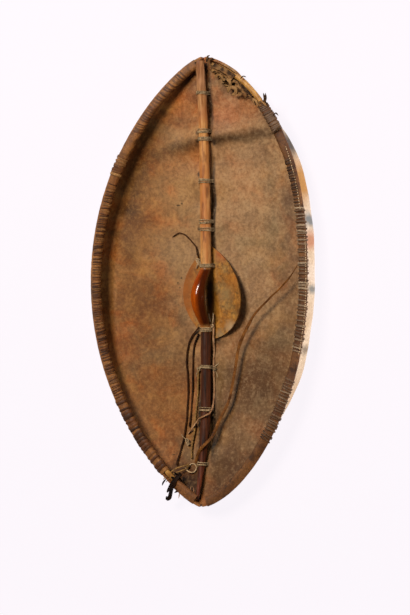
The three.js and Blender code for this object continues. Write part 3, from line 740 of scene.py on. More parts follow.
# Slits, painted shade in the holes beside the lashings, and insect holes: place, reach and squeeze
HIDE_MARKS = [
    ((-69.9, -367.5, 25), 6, (1, 3)),
    ((101.7, -326.6, 25), 4, (1, 1)),
    ((-64.3, 162.8, 8), 5, (0.8, 2)),
    ((-57, 167, 8), 3, (1, 1)),
    ((-16, 228, 10), 6, (1.6, 0.7)),
    ((-15.5, 316, 16), 7, (1, 1)),
    ((20, 296, 16), 9, (1, 0.9)),
    ((-15.5, 298, 16), 6, (1, 1)),
    ((-15, 112, 10), 5, (1, 1)),
    ((-58, 8, 8), 3, (1, 1)),
    ((-66, -2, 8), 2.5, (1, 1)),
    ((-61, -12, 8), 3, (1, 1)),
    ((-16, 50, 10), 5, (1, 1)),
]


SHADE_DEPTH, MARK_DEPTH = 0.4, 0.3  # how little a patch loses with a difference in height


# Rawhide of the back: scraped and dried skin, smoked and oiled by use into a mottled brown
# Its colour holds painted shade in folds, up the left wall and by the stick, and painted light on fold crests
def back_hide():
    f = Finish("smoked_rawhide_back", roughness=0.78, ior=1.45)
    x, y = f.axis("X"), f.axis("Y")
    rightward = f.spread(x, -0.1, 0.1)
    broad = f.noise(120, 3, distort=0.4)
    medium = f.noise(38, 4, shift=2.7, distort=0.6)
    colour = f.blend(f.spread(broad, 0.38, 0.62), "84572c", "966a3c")
    dusty = f.blend(f.spread(broad, 0.4, 0.6), "9c7753", "a8815a")
    colour = f.blend(f.spread(x, -0.07, 0.13, 0.0, 0.8), colour, dusty)
    # darker towards the bottom
    darker_below = f.blend(rightward, "875a31", "6f4d31")
    colour = f.blend(f.spread(y, -0.04, -0.4, 0.0, 0.62), colour, darker_below)
    rust = f.math("MULTIPLY", f.spread(medium, 0.5, 0.64), f.spread(x, 0.16, -0.1, 0.4, 0.9))
    colour = f.blend(rust, colour, "a3541f")
    grey = f.spread(f.noise(52, 4, shift=7.7, distort=0.5), 0.5, 0.66, 0.0, 0.6)
    colour = f.blend(grey, colour, f.blend(rightward, "7d6143", "8c7456"))
    gold = f.spread(f.noise(30, 4, shift=11.0, distort=0.5), 0.55, 0.7, 0.0, 0.5)
    colour = f.blend(gold, colour, "b08044")
    # Patches: the dark ones up the left wall and the olive ones about the upper right fold are painted shade
    for place, size, shade, share in [
        ((-82, 352, 25), 62, "a0521f", 0.6),
        ((-70, 262, 10), 46, "9b4f25", 0.5),
        ((-14, 270, 10), 40, "b06a2a", 0.5),
        ((-190, 110, 30), 80, "4f2d16", 0.6),
        ((-178, 265, 30), 70, "4a2b17", 0.6),
        ((-150, 300, 30), 60, "55321a", 0.5),
        ((66, 372, 25), 60, "b9805c", 0.5),
        ((90, 296, 25), 56, "5b4c36", 0.5),
        ((60, 330, 25), 40, "5a5240", 0.45),
        ((130, 100, 10), 90, "ab8760", 0.45),
        ((-120, -190, 20), 90, "7c4c26", 0.45),
        ((80, -300, 30), 110, "64452b", 0.5),
        ((150, -160, 30), 60, "6e5238", 0.45),
        ((-60, -110, 10), 60, "8f6f4c", 0.4),
    ]:
        colour = f.dab(colour, shade, share, place, size, 0.9, 0.9)
    speck = f.spread(f.cells(7.0), 0.06, 0.3, 0.6, 0.0)
    speck = f.math("MULTIPLY", speck, f.spread(f.noise(60, 2, shift=4.4), 0.45, 0.6))
    colour = f.blend(speck, colour, "4a3322")
    clouds = f.noise(44, 5, shift=5.2, distort=1.2)
    low_clouds = f.blend(f.spread(x, -0.1, 0.12), "6b3f20", "6f5038")
    colour = f.blend(f.spread(clouds, 0.36, 0.5, 0.75, 0.0), colour, low_clouds)
    high_clouds = f.blend(rightward, "b58244", "b99468")
    colour = f.blend(f.spread(clouds, 0.54, 0.68, 0.0, 0.6), colour, high_clouds)
    small = f.noise(17, 4, shift=8.3, distort=0.8)
    colour = f.blend(f.spread(small, 0.36, 0.5, 0.34, 0.0), colour, "6a4526")
    colour = f.blend(f.spread(small, 0.54, 0.68, 0.0, 0.28), colour, "b5875a")
    stain = f.noise(64, 5, shift=14.0, distort=0.8)
    colour = f.blend(f.spread(stain, 0.54, 0.66, 0.0, 0.5), colour, "a45c28")
    colour = f.blend(f.spread(stain, 0.34, 0.45, 0.5, 0.0), colour, "6f6044")
    # painted shade and light, and colour patches, from the table
    for place, size, squash, shade, share in HIDE_PAINTED_LIGHT_AND_PATCHES:
        colour = f.dab(colour, shade, share, place, size, 0.85, 0.5, (*squash, SHADE_DEPTH))
    # painted shadow, nearly black, in the gaps beside the stick
    for place, size, squash in HIDE_PAINTED_GAP_SHADOWS:
        colour = f.dab(colour, "0e0703", 0.92, place, size, 0.45, 0.2, (*squash, MARK_DEPTH))
    # slits and insect holes, and painted shade in the holes beside the lashings
    for place, size, squash in HIDE_MARKS:
        colour = f.dab(colour, "1d120a", 0.85, place, size, 0.6, 0.5, (*squash, MARK_DEPTH))
    brushed = f.noise(7, 4, stretch=(1.1, 0.75, 1), shift=1.9, distort=0.8)
    grain = f.noise(3.4, 4, rough=0.75)  # the real pores are finer than the picture can show
    pale = f.blend(f.spread(x, -0.12, 0.08), "b3864e", "bfa07a")
    colour = f.blend(f.spread(brushed, 0.36, 0.52, 0.2, 0.0), colour, "54381f")
    colour = f.blend(f.spread(brushed, 0.52, 0.68, 0.0, 0.18), colour, pale)
    colour = f.blend(f.spread(grain, 0.36, 0.52, 0.36, 0.0), colour, "432915")
    colour = f.blend(f.spread(grain, 0.52, 0.68, 0.0, 0.26), colour, pale)
    height = f.math("ADD", f.math("MULTIPLY", grain, 0.6), f.math("MULTIPLY", brushed, 1.4))
    rough = f.spread(medium, 0.3, 0.7, 0.68, 0.86)
    return f.end(colour, height, 1.0, rough)


# Rawhide of the front: pale and weathered, with what is left of paint in ochre, red-orange and blue-grey
def front_hide():
    f = Finish("weathered_rawhide_front", roughness=0.8, ior=1.45)
    broad = f.noise(110, 4, shift=6.0)
    medium = f.noise(26, 4, shift=2.0)
    colour = f.blend(f.spread(broad, 0.36, 0.66), "e2cdb2", "f0e2d0")
    colour = f.blend(f.spread(f.noise(60, 4, shift=9.0), 0.52, 0.64, 0.0, 0.6), colour, "c8a06a")
    colour = f.blend(f.spread(f.noise(45, 4, shift=12.0), 0.62, 0.7, 0.0, 0.6), colour, "8b9290")
    colour = f.blend(f.spread(medium, 0.4, 0.75, 0.0, 0.3), colour, "b08a62")
    for place, size, shade, share in [
        ((228, 215, 40), 85, "bd8230", 0.9),
        ((200, 290, 40), 40, "2c3840", 0.95),
        ((238, 127, 35), 24, "5f7480", 0.9),
        ((243, 84, 35), 28, "b8663c", 0.75),
        ((245, 20, 35), 34, "ecdccb", 0.8),
        ((245, -17, 35), 13, "66767c", 0.85),
        ((224, -142, 35), 14, "4b4a46", 0.7),
        ((190, -240, 35), 60, "c9a57c", 0.6),
    ]:
        colour = f.dab(colour, shade, share, place, size, 0.7, 1.1, (0.5, 1, 0.45))
    grain = f.noise(2.4, 3, rough=0.65)  # the real pores are finer than the picture can show
    colour = f.blend(f.spread(grain, 0.3, 0.7, 0.45, 0.0), colour, "8a6a46")
    height = f.math("ADD", f.math("MULTIPLY", grain, 0.5), f.math("MULTIPLY", f.noise(14, 3, shift=3.0), 1.4))
    return f.end(colour, height, 1.0)


# Folds of the hide, where the lashings gather it: start, end, height, half width
FOLDS = [
    ((20, 310), (150, 332), 17.0, 12),
    ((-10, 306), (-95, 280), 12.0, 12),
    ((18, 118), (85, 128), 3.5, 12),
    ((-12, 118), (-70, 100), 3.0, 12),
    ((18, 213), (60, 205), 3.5, 11),
    ((-12, 213), (-60, 225), 3.0, 11),
    ((22, -222), (25, -330), 5.5, 7),
    ((-12, 398), (-55, 380), 2.5, 10),
    ((18, 396), (60, 404), 2.5, 9),
    ((12, -385), (60, -360), 2.5, 12),
    ((-12, -268), (-60, -262), 1.5, 12),
]


def fold_height(x, y):
    """How far the folds lift the hide at a place; none of them does so beneath the stick."""
    total = np.zeros(np.broadcast(x, y).shape)
    for (x0, y0), (x1, y1), height, wide in FOLDS:
        dx, dy = x1 - x0, y1 - y0
        share = ((x - x0) * dx + (y - y0) * dy) / (dx * dx + dy * dy)
        inside = np.clip(share, 0, 1)
        off = np.hypot(x - x0 - inside * dx, y - y0 - inside * dy)
        total = total + height * np.exp(-((off / (wide * (1 + inside))) ** 2)) * (1 - 0.75 * inside)
    return total * ease((np.abs(x - STICK_X) - 11) / 14)


def torn_away(u):
    """Share of the tear along the right rim near the top, where the hide's edge is gone and the hoop bare."""
    return ease((u - 0.785) / 0.02) * ease((0.935 - u) / 0.03)


def hide_skin(back, front):
    """The sheet of hide; its rows crowd towards the tips, and its lines are even over the middle section."""
    crowd = 1.25
    rows = np.sin(np.linspace(-1, 1, 233) * crowd) / math.sin(crowd) * TIP_END
    fine = np.linspace(0, 1, 1001)
    run = run_along(hull(np.zeros_like(fine), fine))
    half = np.interp(np.linspace(0, run[-1], 76), run, fine)
    lines = np.concatenate([-half[:0:-1], half])
    u, s = np.meshgrid(rows, lines, indexing="ij")
    ragged = np.array([noise.fractal(Vector((v * HALF_LENGTH / 7, 3.0, 0)), 0.8, 2.0, 4) for v in rows])
    torn = torn_away(rows) * (0.17 + 0.05 * ragged)
    s = np.where(s > 0, s * (1 - torn[:, None]), s)
    points, normal, _ = hull_frame(u, s)
    x, y = points[..., 0], points[..., 1]
    calm = ease((1 - np.abs(s)) / 0.12) * ease((np.abs(x - STICK_X) - 6) / 22)
    waves = np.array([
        2.2 * noise.noise(Vector((px / 95, py / 120, 1.0)))
        + 0.9 * noise.noise(Vector((px / 34, py / 40, 5.0)))
        for px, py in zip(x.ravel(), y.ravel())
    ]).reshape(x.shape)
    lift = calm * waves + ease((1 - np.abs(s)) / 0.2) * fold_height(x, y)
    points = points + normal * lift[..., None]
    points[..., 2] = np.maximum(points[..., 2], 0.05)  # just clear of the floor
    obj = sheet_from("hide_skin", points)
    for finish_of_side in (back, front):
        obj.data.materials.append(finish_of_side)
    thicken(obj, HIDE_THICKNESS, use_even_offset=False, material_offset=1, material_offset_rim=0)
    return obj


hide = hide_skin(back_hide(), front_hide())
finish(hide, None, "rawhide", "hide", degrees=50)


# Stick and grip
def stick_section(y):
    """Middle across and in height of the stick at y, and its half width and half height."""
    share = np.clip((28 - y) / 123, 0, 1)
    bow = np.sin(math.pi * share)
    upper = mix(23, 18, np.clip(y / 446, 0, 1) ** 2)
    sharp = np.clip((-y - 300) / 152, 0, 1) ** 1.5
    width = mix(np.where(y > 0, upper, mix(21, 6, sharp)), 31, bow)
    height = mix(mix(16, 7, sharp), 25, bow)
    lean = 6 * np.clip((y - 60) / 392, 0, 1) + 11 * np.clip((-y - 290) / 164, 0, 1) ** 1.5
    return STICK_X - 5 * bow - lean, 12.3 + keel_height(y) + 31 * bow + height / 2, width / 2, height / 2


def stick():
    ys = np.arange(466, -456.1, -3.0)
    x, z, a, b = (np.broadcast_to(v, ys.shape) for v in stick_section(ys))
    sides = 28
    angle = 2 * math.pi * (np.arange(sides) + 0.5) / sides
    grip = ease((30 - ys) / 14) * ease((ys + 97) / 14)
    rings = []
    for y, cx, cz, ra, rb, g in zip(ys, x, z, a, b, grip):
        rough = np.array([
            noise.fractal(Vector((math.cos(t) * 1.5, y / 20, math.sin(t) * 1.5)), 0.7, 2.0, 4) for t in angle
        ])
        r = (1 + 0.07 * rough * (1 - 0.85 * g)) * mix(0.82, 1, ease((466 - y) / 6))
        squarer = 1 + 0.04 * np.cos(4 * angle) * (1 - g)
        across, up = ra * r * squarer * np.cos(angle), rb * r * squarer * np.sin(angle)
        rings.append(np.stack([cx + across, np.full(sides, y), cz + up], -1))
    return tube("stick_wood", np.array(rings))


# Wood of the stick: peeled and pale, scuffed and stained by hands, and polished dark red on the grip
def stick_wood():
    f = Finish("peeled_and_handled_wood", roughness=0.5, ior=1.5)
    y = f.axis("Y")
    x = f.axis("X")
    fibre = f.noise(4.5, 4, stretch=(1.6, 0.07, 1.6))  # drawn wider than the real fibres, to show at all
    patches = f.noise(22, 3, stretch=(1, 0.45, 1), shift=3.0)
    colour = f.blend(f.spread(fibre, 0.36, 0.62), "deab6a", "b0763a")
    colour = f.blend(f.spread(patches, 0.46, 0.62, 0.0, 0.6), colour, "a86032")
    spots = f.noise(7, 4, stretch=(1.4, 0.4, 1.4), shift=6.0)
    colour = f.blend(f.spread(spots, 0.52, 0.66, 0.0, 0.7), colour, "6a3c1f")
    pink = f.spread(y, 0.3, 0.42, 0.0, 0.75)
    colour = f.blend(pink, colour, f.blend(f.spread(fibre, 0.38, 0.62), "a6765a", "6d432c"))
    low = f.spread(y, -0.094, -0.108)
    colour = f.blend(low, colour, f.blend(f.spread(fibre, 0.38, 0.62), "54280f", "1f0c05"))
    foot = f.spread(y, -0.35, -0.43, 0.0, 0.85)
    colour = f.blend(foot, colour, f.blend(f.spread(fibre, 0.38, 0.62), "7c4029", "43190f"))
    # painted shade down the stick's right side, away from the light
    shade = f.math("MULTIPLY", f.spread(x, 0.007, 0.014, 0.0, 0.35), f.spread(patches, 0.3, 0.6, 0.6, 1.0))
    colour = f.blend(shade, colour, "57301a")
    grip = f.math("MULTIPLY", f.spread(y, 0.035, 0.024), f.spread(y, -0.101, -0.088))
    polish = f.blend(f.spread(patches, 0.35, 0.7), "b8560c", "8a3206")
    polish = f.blend(f.spread(fibre, 0.4, 0.7, 0.0, 0.5), polish, "4d1703")
    # painted shade on the grip's right side, away from the light
    polish = f.blend(f.spread(x, -0.004, 0.006, 0.0, 0.9), polish, "2a0c03")
    colour = f.blend(grip, colour, polish)
    rough = f.spread(grip, 0.0, 1.0, 0.58, 0.16)
    height = f.math("MULTIPLY", fibre, f.spread(grip, 0.0, 1.0, 1.0, 0.08))
    return f.end(colour, height, 0.5, rough)


finish(stick(), stick_wood(), "grip_wood", "spine_stick", degrees=50)


# Palm guard: an almond of thick hide behind the grip, between its two ends
GUARD_TOP, GUARD_BOTTOM = 78.0, -122.0


def guard_edge(side, y):
    widest = np.where(side < 0, -24.0, -42.0)
    end = np.where(y > widest, GUARD_TOP, GUARD_BOTTOM)
    share = np.minimum(1, np.abs((y - widest) / (end - widest)))
    taper = np.where(side < 0, 1.0, np.where(y > widest, 0.8, 0.5))
    reach = np.where(side < 0, -53.0, 84.0) - STICK_X
    return STICK_X + reach * (1 - share**2) ** taper


def guard():
    rows = np.linspace(0, math.pi, 81)[1:-1]
    ys = GUARD_TOP + (GUARD_BOTTOM - GUARD_TOP) * (1 - np.cos(rows)) / 2
    across = np.linspace(0, 1, 49)
    left, right = guard_edge(-1, ys), guard_edge(1, ys)
    x = left[:, None] + (right - left)[:, None] * across
    off = x - STICK_X
    z = 9 + 24 * (np.clip(off, 0, None) / 81) ** 1.6 - 1.5 * np.clip((-off - BED_HALF) / 56, 0, None)
    y = np.broadcast_to(ys[:, None], x.shape)
    ripple = np.array([
        0.8 * noise.noise(Vector((px / 24, py / 30, 3.0))) for px, py in zip(x.ravel(), y.ravel())
    ]).reshape(x.shape)
    z = z + ripple * ease(off / 30)
    obj = sheet_from("guard_leather", np.stack([x, y, z], -1))
    thicken(obj, 2.8)
    bevel = obj.modifiers.new("worn_edge", "BEVEL")
    bevel.width = 0.8 * MM
    bevel.segments = 2
    bevel.limit_method = "ANGLE"
    bevel.angle_limit = math.radians(50)
    bpy.ops.object.modifier_apply(modifier="worn_edge")
    return obj


# Hide of the guard: stiff and amber where hands rubbed it, mottled and scratched where they didn't
def guard_hide():
    f = Finish("stiff_guard_hide", roughness=0.6, ior=1.45)
    broad = f.noise(26, 4, shift=2.0)
    grain = f.noise(2.0, 3, rough=0.65)
    x = f.axis("X")
    colour = f.blend(f.spread(broad, 0.38, 0.62), "a06a24", "8a561f")
    colour = f.blend(f.spread(f.noise(16, 4, shift=5.0), 0.47, 0.64, 0.0, 0.6), colour, "8a7346")
    colour = f.blend(f.spread(f.noise(7, 4, shift=9.0), 0.5, 0.64, 0.0, 0.7), colour, "644622")
    flecks = f.noise(5, 4, stretch=(1, 0.6, 1), shift=1.0)
    colour = f.blend(f.spread(flecks, 0.54, 0.68, 0.0, 0.6), colour, "b98236")
    colour = f.blend(f.spread(f.noise(3.5, 3, shift=8.0), 0.5, 0.68, 0.0, 0.6), colour, "43270f")
    colour = f.blend(f.spread(grain, 0.55, 0.75, 0.0, 0.45), colour, "c0955a")
    # the pale patch on the lower right edge is a painted highlight where the edge catches the light
    for place, size, shade, share in [
        ((36, 56, 14), 22, "a5502a", 0.6),
        ((72, 6, 28), 20, "a5621c", 0.6),
        ((60, -95, 20), 20, "b49f80", 0.65),
        ((34, -112, 14), 16, "8f7d5c", 0.6),
        ((80, -60, 30), 16, "4f3419", 0.6),
        ((48, -30, 20), 26, "8c7850", 0.55),
    ]:
        colour = f.dab(colour, shade, share, place, size, 0.8, 0.8)
    amber = f.blend(f.spread(broad, 0.4, 0.6), "9d530b", "85490f")
    colour = f.blend(f.spread(x, -0.015, -0.04, 0.0, 0.85), colour, amber)
    colour = f.dab(colour, "120805", 0.9, (8, -28, 14), 12, 0.6, 0.2, (1, 0.17, 0.4))  # painted shadow of the grip on the guard beside it
    height = f.math("ADD", f.math("MULTIPLY", grain, 0.5), f.noise(7, 3, shift=4.0))
    return f.end(colour, height, 0.6)


finish(guard(), guard_hide(), "guard_hide", "palm_guard", degrees=50)


# Hoops
def hoop(side, ends):
    rim = RIMS[side]
    us = np.arange(ends[0], ends[1] + 1e-6, 0.0085)
    angle = 2 * math.pi * np.arange(14) / 14
    rings = []
    for u in us:
        point, normal, rimward, _, centre, _ = rim.at(u)
        if side == "right":
            centre = centre - (4.2 * float(torn_away(u)), 0)
        r = HOOP_RADIUS * (0.97 + 0.05 * noise.noise(Vector((u * 14, rim.s, 0))))
        r = r * (1 + 0.03 * np.cos(3 * angle + 9 * u))
        across, up = centre[0] + r * np.cos(angle), centre[1] + r * np.sin(angle)
        rings.append(point + across[:, None] * normal + up[:, None] * rimward)
    return tube(f"hoop_{side}", np.array(rings))


# Wood of the hoops: bent rods, bare and dry, with dark stains in the long fibres
def hoop_wood():
    f = Finish("bare_hoop_wood", roughness=0.55, ior=1.5)
    fibre = f.noise(3.5, 4, stretch=(0.6, 0.3, 0.6))
    colour = f.blend(f.spread(fibre, 0.35, 0.68), "c2934f", "86561f")
    colour = f.blend(f.spread(f.noise(18, 3, shift=4.0), 0.5, 0.66, 0.0, 0.7), colour, "5e3a18")
    return f.end(colour, fibre, 0.5)


bare_wood = hoop_wood()
finish(hoop("left", (-0.972, 0.972)), bare_wood, "hoop_wood", "rim_hoop_left", degrees=60)
finish(hoop("right", (-0.972, 0.978)), bare_wood, "hoop_wood", "rim_hoop_right", degrees=60)


# Binding: a strip of hide folded over the rim, and the whipping that goes round it
def wall_in(wall, down):
    """How far inward the outer wall lies at a depth below its edge."""
    return float(np.interp(down, wall[::-1, 1], wall[::-1, 0]))


def hoop_arc(centre, r, degrees):
    """Places round the middle of a hoop, inward and rimward, at angles from its inner side."""
    return [(centre[0] + r * math.cos(a), centre[1] + r * math.sin(a)) for a in map(math.radians, degrees)]


def fold_line(centre, wall, off, deep=4.5, inner=4.0):
    """A line round the rim's section: up the outer face, over the top and down inside the hoop."""
    top = max(0.0, centre[1] + HOOP_RADIUS) + off
    r = HOOP_RADIUS + off
    line = [(wall_in(wall, -down) - off, -down) for down in (deep, deep / 2)]
    line += [(-off, -0.6), (-0.5 * off, 0.7 * off), (1.5, top * 0.9), (5.5, top)]
    line += hoop_arc(centre, r, (90, 62, 34, 8, -18))
    line.append((centre[0] + r * 0.9, centre[1] - inner))
    return np.array(line)


def sleeve(name, side, ends, off=1.5, rough=0.35, seed=0.0):
    rim = RIMS[side]
    us = np.linspace(ends[0], ends[1], max(8, round((ends[1] - ends[0]) * HALF_LENGTH / 4)))
    rings = []
    for u in us:
        point, normal, rimward, _, centre, wall = rim.at(u)
        outer = fold_line(centre, wall, off)
        inner = fold_line(centre, wall, 0.25)[::-1]
        ring = np.concatenate([outer, inner])
        bumps = np.array([
            rough * noise.fractal(Vector((u * HALF_LENGTH / 9, k * 0.45, seed)), 0.8, 2.0, 3)
            for k in range(len(outer))
        ])
        ring[: len(outer)] += unit(outer - centre) * bumps[:, None]
        rings.append(point + ring[:, :1] * normal + ring[:, 1:] * rimward)
    return tube(name, np.array(rings))


def loop_line(centre, wall, off, deep, inside):
    """A line round the hoop and the hide's edge; inside starts it on top, from a hole in the folded strip."""
    folded = [tuple(p) for p in fold_line(centre, wall, off, max(1.0, deep - 2))]
    if inside:
        line = [(2.2, -1.0), (3.2, folded[5][1] * 0.85)] + folded[5:-1]
    else:
        start = [(wall_in(wall, -deep) + 2.0, -deep), (wall_in(wall, -deep + 1) - 0.6 * off, -deep + 0.6)]
        line = start + folded[:-1]
    line += hoop_arc(centre, HOOP_RADIUS + off * 0.8, (-48, -80))
    line.append((4.0, centre[1] - HOOP_RADIUS - 1.5))
    return np.array(line)


def wrap(rim, u, wide, thick, skew, off, deep, tone, seed, inside):
    """One turn of a narrow strip round the rim."""
    point, normal, rimward, along, centre, wall = rim.at(u)
    line = loop_line(centre, wall, off, deep, inside)
    step = unit(np.gradient(line, axis=0))
    outward = np.stack([-step[:, 1], step[:, 0]], -1)
    outward *= np.sign(((line - centre) * outward).sum(-1))[:, None]
    t = np.linspace(-0.5, 0.5, len(line))
    jig = np.array([noise.noise(Vector((k * 0.5, seed, 0))) for k in range(len(line))])
    section = np.array([(-0.5, 0.0), (-0.32, 0.85), (0.0, 1.0), (0.32, 0.85), (0.5, 0.0), (0.0, -0.3)])
    shift = along * (skew * t + 0.6 * jig)[:, None]
    base = point + line[:, :1] * normal + line[:, 1:] * rimward + shift
    lift = outward[:, :1] * normal + outward[:, 1:] * rimward
    w = wide * (1 + 0.3 * jig)
    rings = base[:, None] + (w[:, None] * section[:, 0])[..., None] * along
    rings = rings + (thick * section[:, 1])[None, :, None] * lift[:, None]
    return tube("wrap", rings, tone=tone)


def whipping(name, side, spans):
    """Turns of a narrow strip round the rim, from low to high along the shield."""
    rim = RIMS[side]
    rng = random.Random(name)
    made = []
    for low, high, pitch, wide, thick, off, inside, tones in spans:
        far = rim.far_at(low / HALF_LENGTH)
        end = rim.far_at(high / HALF_LENGTH)
        while far < end:
            w = wide * rng.uniform(0.5, 1.2)
            made.append(wrap(
                rim, rim.u_at(far), w, thick * rng.uniform(0.8, 1.2), pitch * rng.uniform(-0.3, 1.5),
                off + rng.uniform(-0.2, 0.3), deep=6.5 + rng.uniform(-1.5, 1.5),
                tone=rng.uniform(*tones), seed=rng.uniform(0, 99), inside=inside,
            ))
            far += pitch * rng.choice((0.7, 0.85, 1.0, 1.1, 1.5))
    return joined(name, made)


def stitches(name, side, low, high, pitch, size, place):
    """A row of short running stitches along the rim; place is inward and rimward from its edge."""
    rim = RIMS[side]
    rng = random.Random(name)
    made = []
    far = rim.far_at(low / HALF_LENGTH)
    while far < rim.far_at(high / HALF_LENGTH):
        point, normal, rimward, along, _, _ = rim.at(rim.u_at(far))
        middle = point + place[0] * normal + place[1] * rimward
        long = size * rng.uniform(0.8, 1.3)
        path = middle + along * np.linspace(-0.5, 0.5, 6)[:, None] * long
        round_end = np.sin(np.linspace(0.15, math.pi - 0.15, 6))
        path = path + rimward * (0.5 * round_end)[:, None]
        side, up = (np.broadcast_to(way, path.shape) for way in (normal, rimward))
        rings = strip_rings(path, 1.9 * round_end, 1.6 * round_end, side, up)
        made.append(tube("stitch", rings, tone=rng.uniform(0.6, 1)))
        far += pitch * rng.uniform(0.85, 1.15)
    return joined(name, made)


# Whipping: narrow strips of dried hide, each of its own tone, from bleached and dusty to dark in the gaps
def wrap_hide(name, light, body, dark):
    f = Finish(name, roughness=0.66, ior=1.5)
    tone = f.tone()
    colour = f.blend(f.spread(tone, 0.0, 0.6), dark, body)
    colour = f.blend(f.spread(tone, 0.6, 1.0), colour, light)
    patches = f.noise(12, 3, shift=2.0)
    colour = f.blend(f.spread(patches, 0.45, 0.7, 0.0, 0.6), colour, dark)
    grain = f.noise(1.6, 3)
    colour = f.blend(f.spread(grain, 0.35, 0.7, 0.55, 0.0), colour, dark)
    return f.end(colour, grain, 0.4)


# Folded strip along the rim: a wide band of hide, brown and scuffed, with soot in its hollows
def sleeve_hide(name, light, body, dark):
    f = Finish(name, roughness=0.68, ior=1.5)
    broad = f.noise(30, 4, shift=1.0)
    colour = f.blend(f.spread(broad, 0.35, 0.66), body, light)
    colour = f.blend(f.spread(f.noise(9, 4, shift=3.0), 0.48, 0.68, 0.0, 0.75), colour, dark)
    grain = f.noise(1.8, 3)
    colour = f.blend(f.spread(grain, 0.35, 0.7, 0.5, 0.0), colour, dark)
    height = f.math("ADD", grain, f.noise(6, 3, shift=2.0))
    return f.end(colour, height, 0.5)


left_sleeve = sleeve_hide("left_rim_hide", "a9743f", "7c4c26", "331c0d")
right_sleeve = sleeve_hide("right_rim_hide", "85582f", "5a351a", "2b180c")
tip_sleeve = sleeve_hide("tip_rim_hide", "8a5930", "5c371b", "261309")
left_wrap = wrap_hide("left_whipping_hide", "b58752", "6f4222", "2c180b")
right_wrap = wrap_hide("right_whipping_hide", "bfa88c", "7a5e46", "331e10")

left_fold = sleeve("rim_fold_left", "left", (-0.86, 0.984), seed=2.0)
finish(left_fold, left_sleeve, "thong", "rim_binding_left")
right_fold = sleeve("rim_fold_right", "right", (-0.993, 0.79), seed=7.0)
finish(right_fold, right_sleeve, "thong", "rim_binding_right")
tip_fold = sleeve("rim_fold_tip", "left", (-0.984, -0.91), seed=5.0)
finish(tip_fold, tip_sleeve, "thong", "rim_binding_tip")
# Spans of turns: from, to, spacing, width, thickness, height over the rim, from inside the strip, and tones
LEFT_WHIPPING = [
    (-400, -250, 10.5, 9.0, 1.1, 1.8, False, (0.05, 0.7)),
    (-248, 214, 4.8, 3.6, 1.6, 1.5, True, (0.1, 0.85)),
    (232, 272, 6.6, 6.0, 1.4, 2.0, False, (0.6, 1)),
    (325, 450, 6.4, 4.4, 1.2, 1.2, True, (0.3, 0.7)),
]
RIGHT_WHIPPING = [
    (-333, -203, 7.6, 4.4, 1.8, 2.0, False, (0.2, 0.8)),
    (-146, 156, 7.5, 4.6, 2.0, 2.0, False, (0.45, 1)),
    (160, 262, 6.2, 4.8, 1.6, 1.8, True, (0.0, 0.45)),
    (318, 374, 5.4, 5.6, 1.2, 1.8, False, (0.2, 0.6)),
]
finish(whipping("whipping_left", "left", LEFT_WHIPPING), left_wrap, "thong")
finish(whipping("whipping_right", "right", RIGHT_WHIPPING), right_wrap, "thong")
finish(stitches("rim_stitches_right", "right", 150, 282, 5.4, 3.4, (3.2, 2.8)), cream_thong, "thong")
finish(stitches("rim_stitches_outer", "right", -150, 98, 4.6, 2.6, (-1.6, 2.6)), cream_thong, "thong")


# Lashings: turns of twisted thong over the stick and through the hide
def lashing(name, y, turns=3, radius=1.4):
    x, z, a, b = (float(v) for v in stick_section(np.float64(y)))
    rng = random.Random(name)
    under = float(hull(y / HALF_LENGTH, 0.0)[2])
    grow = radius + 0.35
    splay = 4.0  # how far past the stick the turns go down through the hide
    loop = [(x + (a + grow) * math.cos(t), z + (b + grow) * math.sin(t)) for t in np.linspace(0, math.pi, 15)]
    left, right = x - a - grow - splay, x + a + grow + splay
    loop += [(left, under + HIDE_THICKNESS), (left + 1.5, under - 0.8), (x, under - 1.1)]
    loop += [(right - 1.5, under - 0.8), (right, under + HIDE_THICKNESS)]
    made = []
    for turn in range(turns):
        offset = (turn - (turns - 1) / 2) * 2 * radius * 1.02 + rng.uniform(-0.4, 0.4)
        lean = radius * rng.uniform(-1.0, 1.4)
        ring = np.array([
            (px, y + offset + lean * math.sin(math.pi * k / len(loop)), pz) for k, (px, pz) in enumerate(loop)
        ])
        closed = np.concatenate([ring, ring[:1]])
        run = run_along(closed)
        path = places_along(closed, run, np.arange(0, run[-1], 1.4))
        path = np.concatenate([path, path[:1]])
        rings = rope_rings(path, radius * rng.uniform(0.85, 1.1), 7.5, points=8, start=turn * 2.1)
        made.append(tube("turn", rings))
    return joined(name, made)


def knot(centre, size, radius):
    """A small overhand knot drawn up round a place."""
    t = np.linspace(0, 2 * math.pi, 90)
    x = (2 + np.cos(3 * t)) * np.cos(2 * t)
    y = (2 + np.cos(3 * t)) * np.sin(2 * t)
    path = np.asarray(centre, float) + np.stack([x, y, 1.2 * np.sin(3 * t)], -1) * size / 3
    return tube("knot", rope_rings(path, radius, 7.0, points=8))


def loose_strip(route, wide, thick, tone=None):
    """A strip with worn thin ends, laid along a route."""
    path = curve_through(route, 1.5)
    side, up = sides_of(path)
    thin = taper_ends(path, 3, 6, 0.35)
    rings = strip_rings(path, wide * thin, thick * thin, side, up, 0.6 * wander(path, 15, 2.0))
    return tube("strip", rings, tone=tone)


band_ys = sorted([y for bands in LASHINGS + GRIP_LASHINGS for y in bands], reverse=True)
for index, y in enumerate(band_ys):
    number = f"{index + 1:02d}"
    finish(lashing(f"lashing_turns_{number}", y), grey_twist, "thong", f"lashing_{number}", degrees=60)


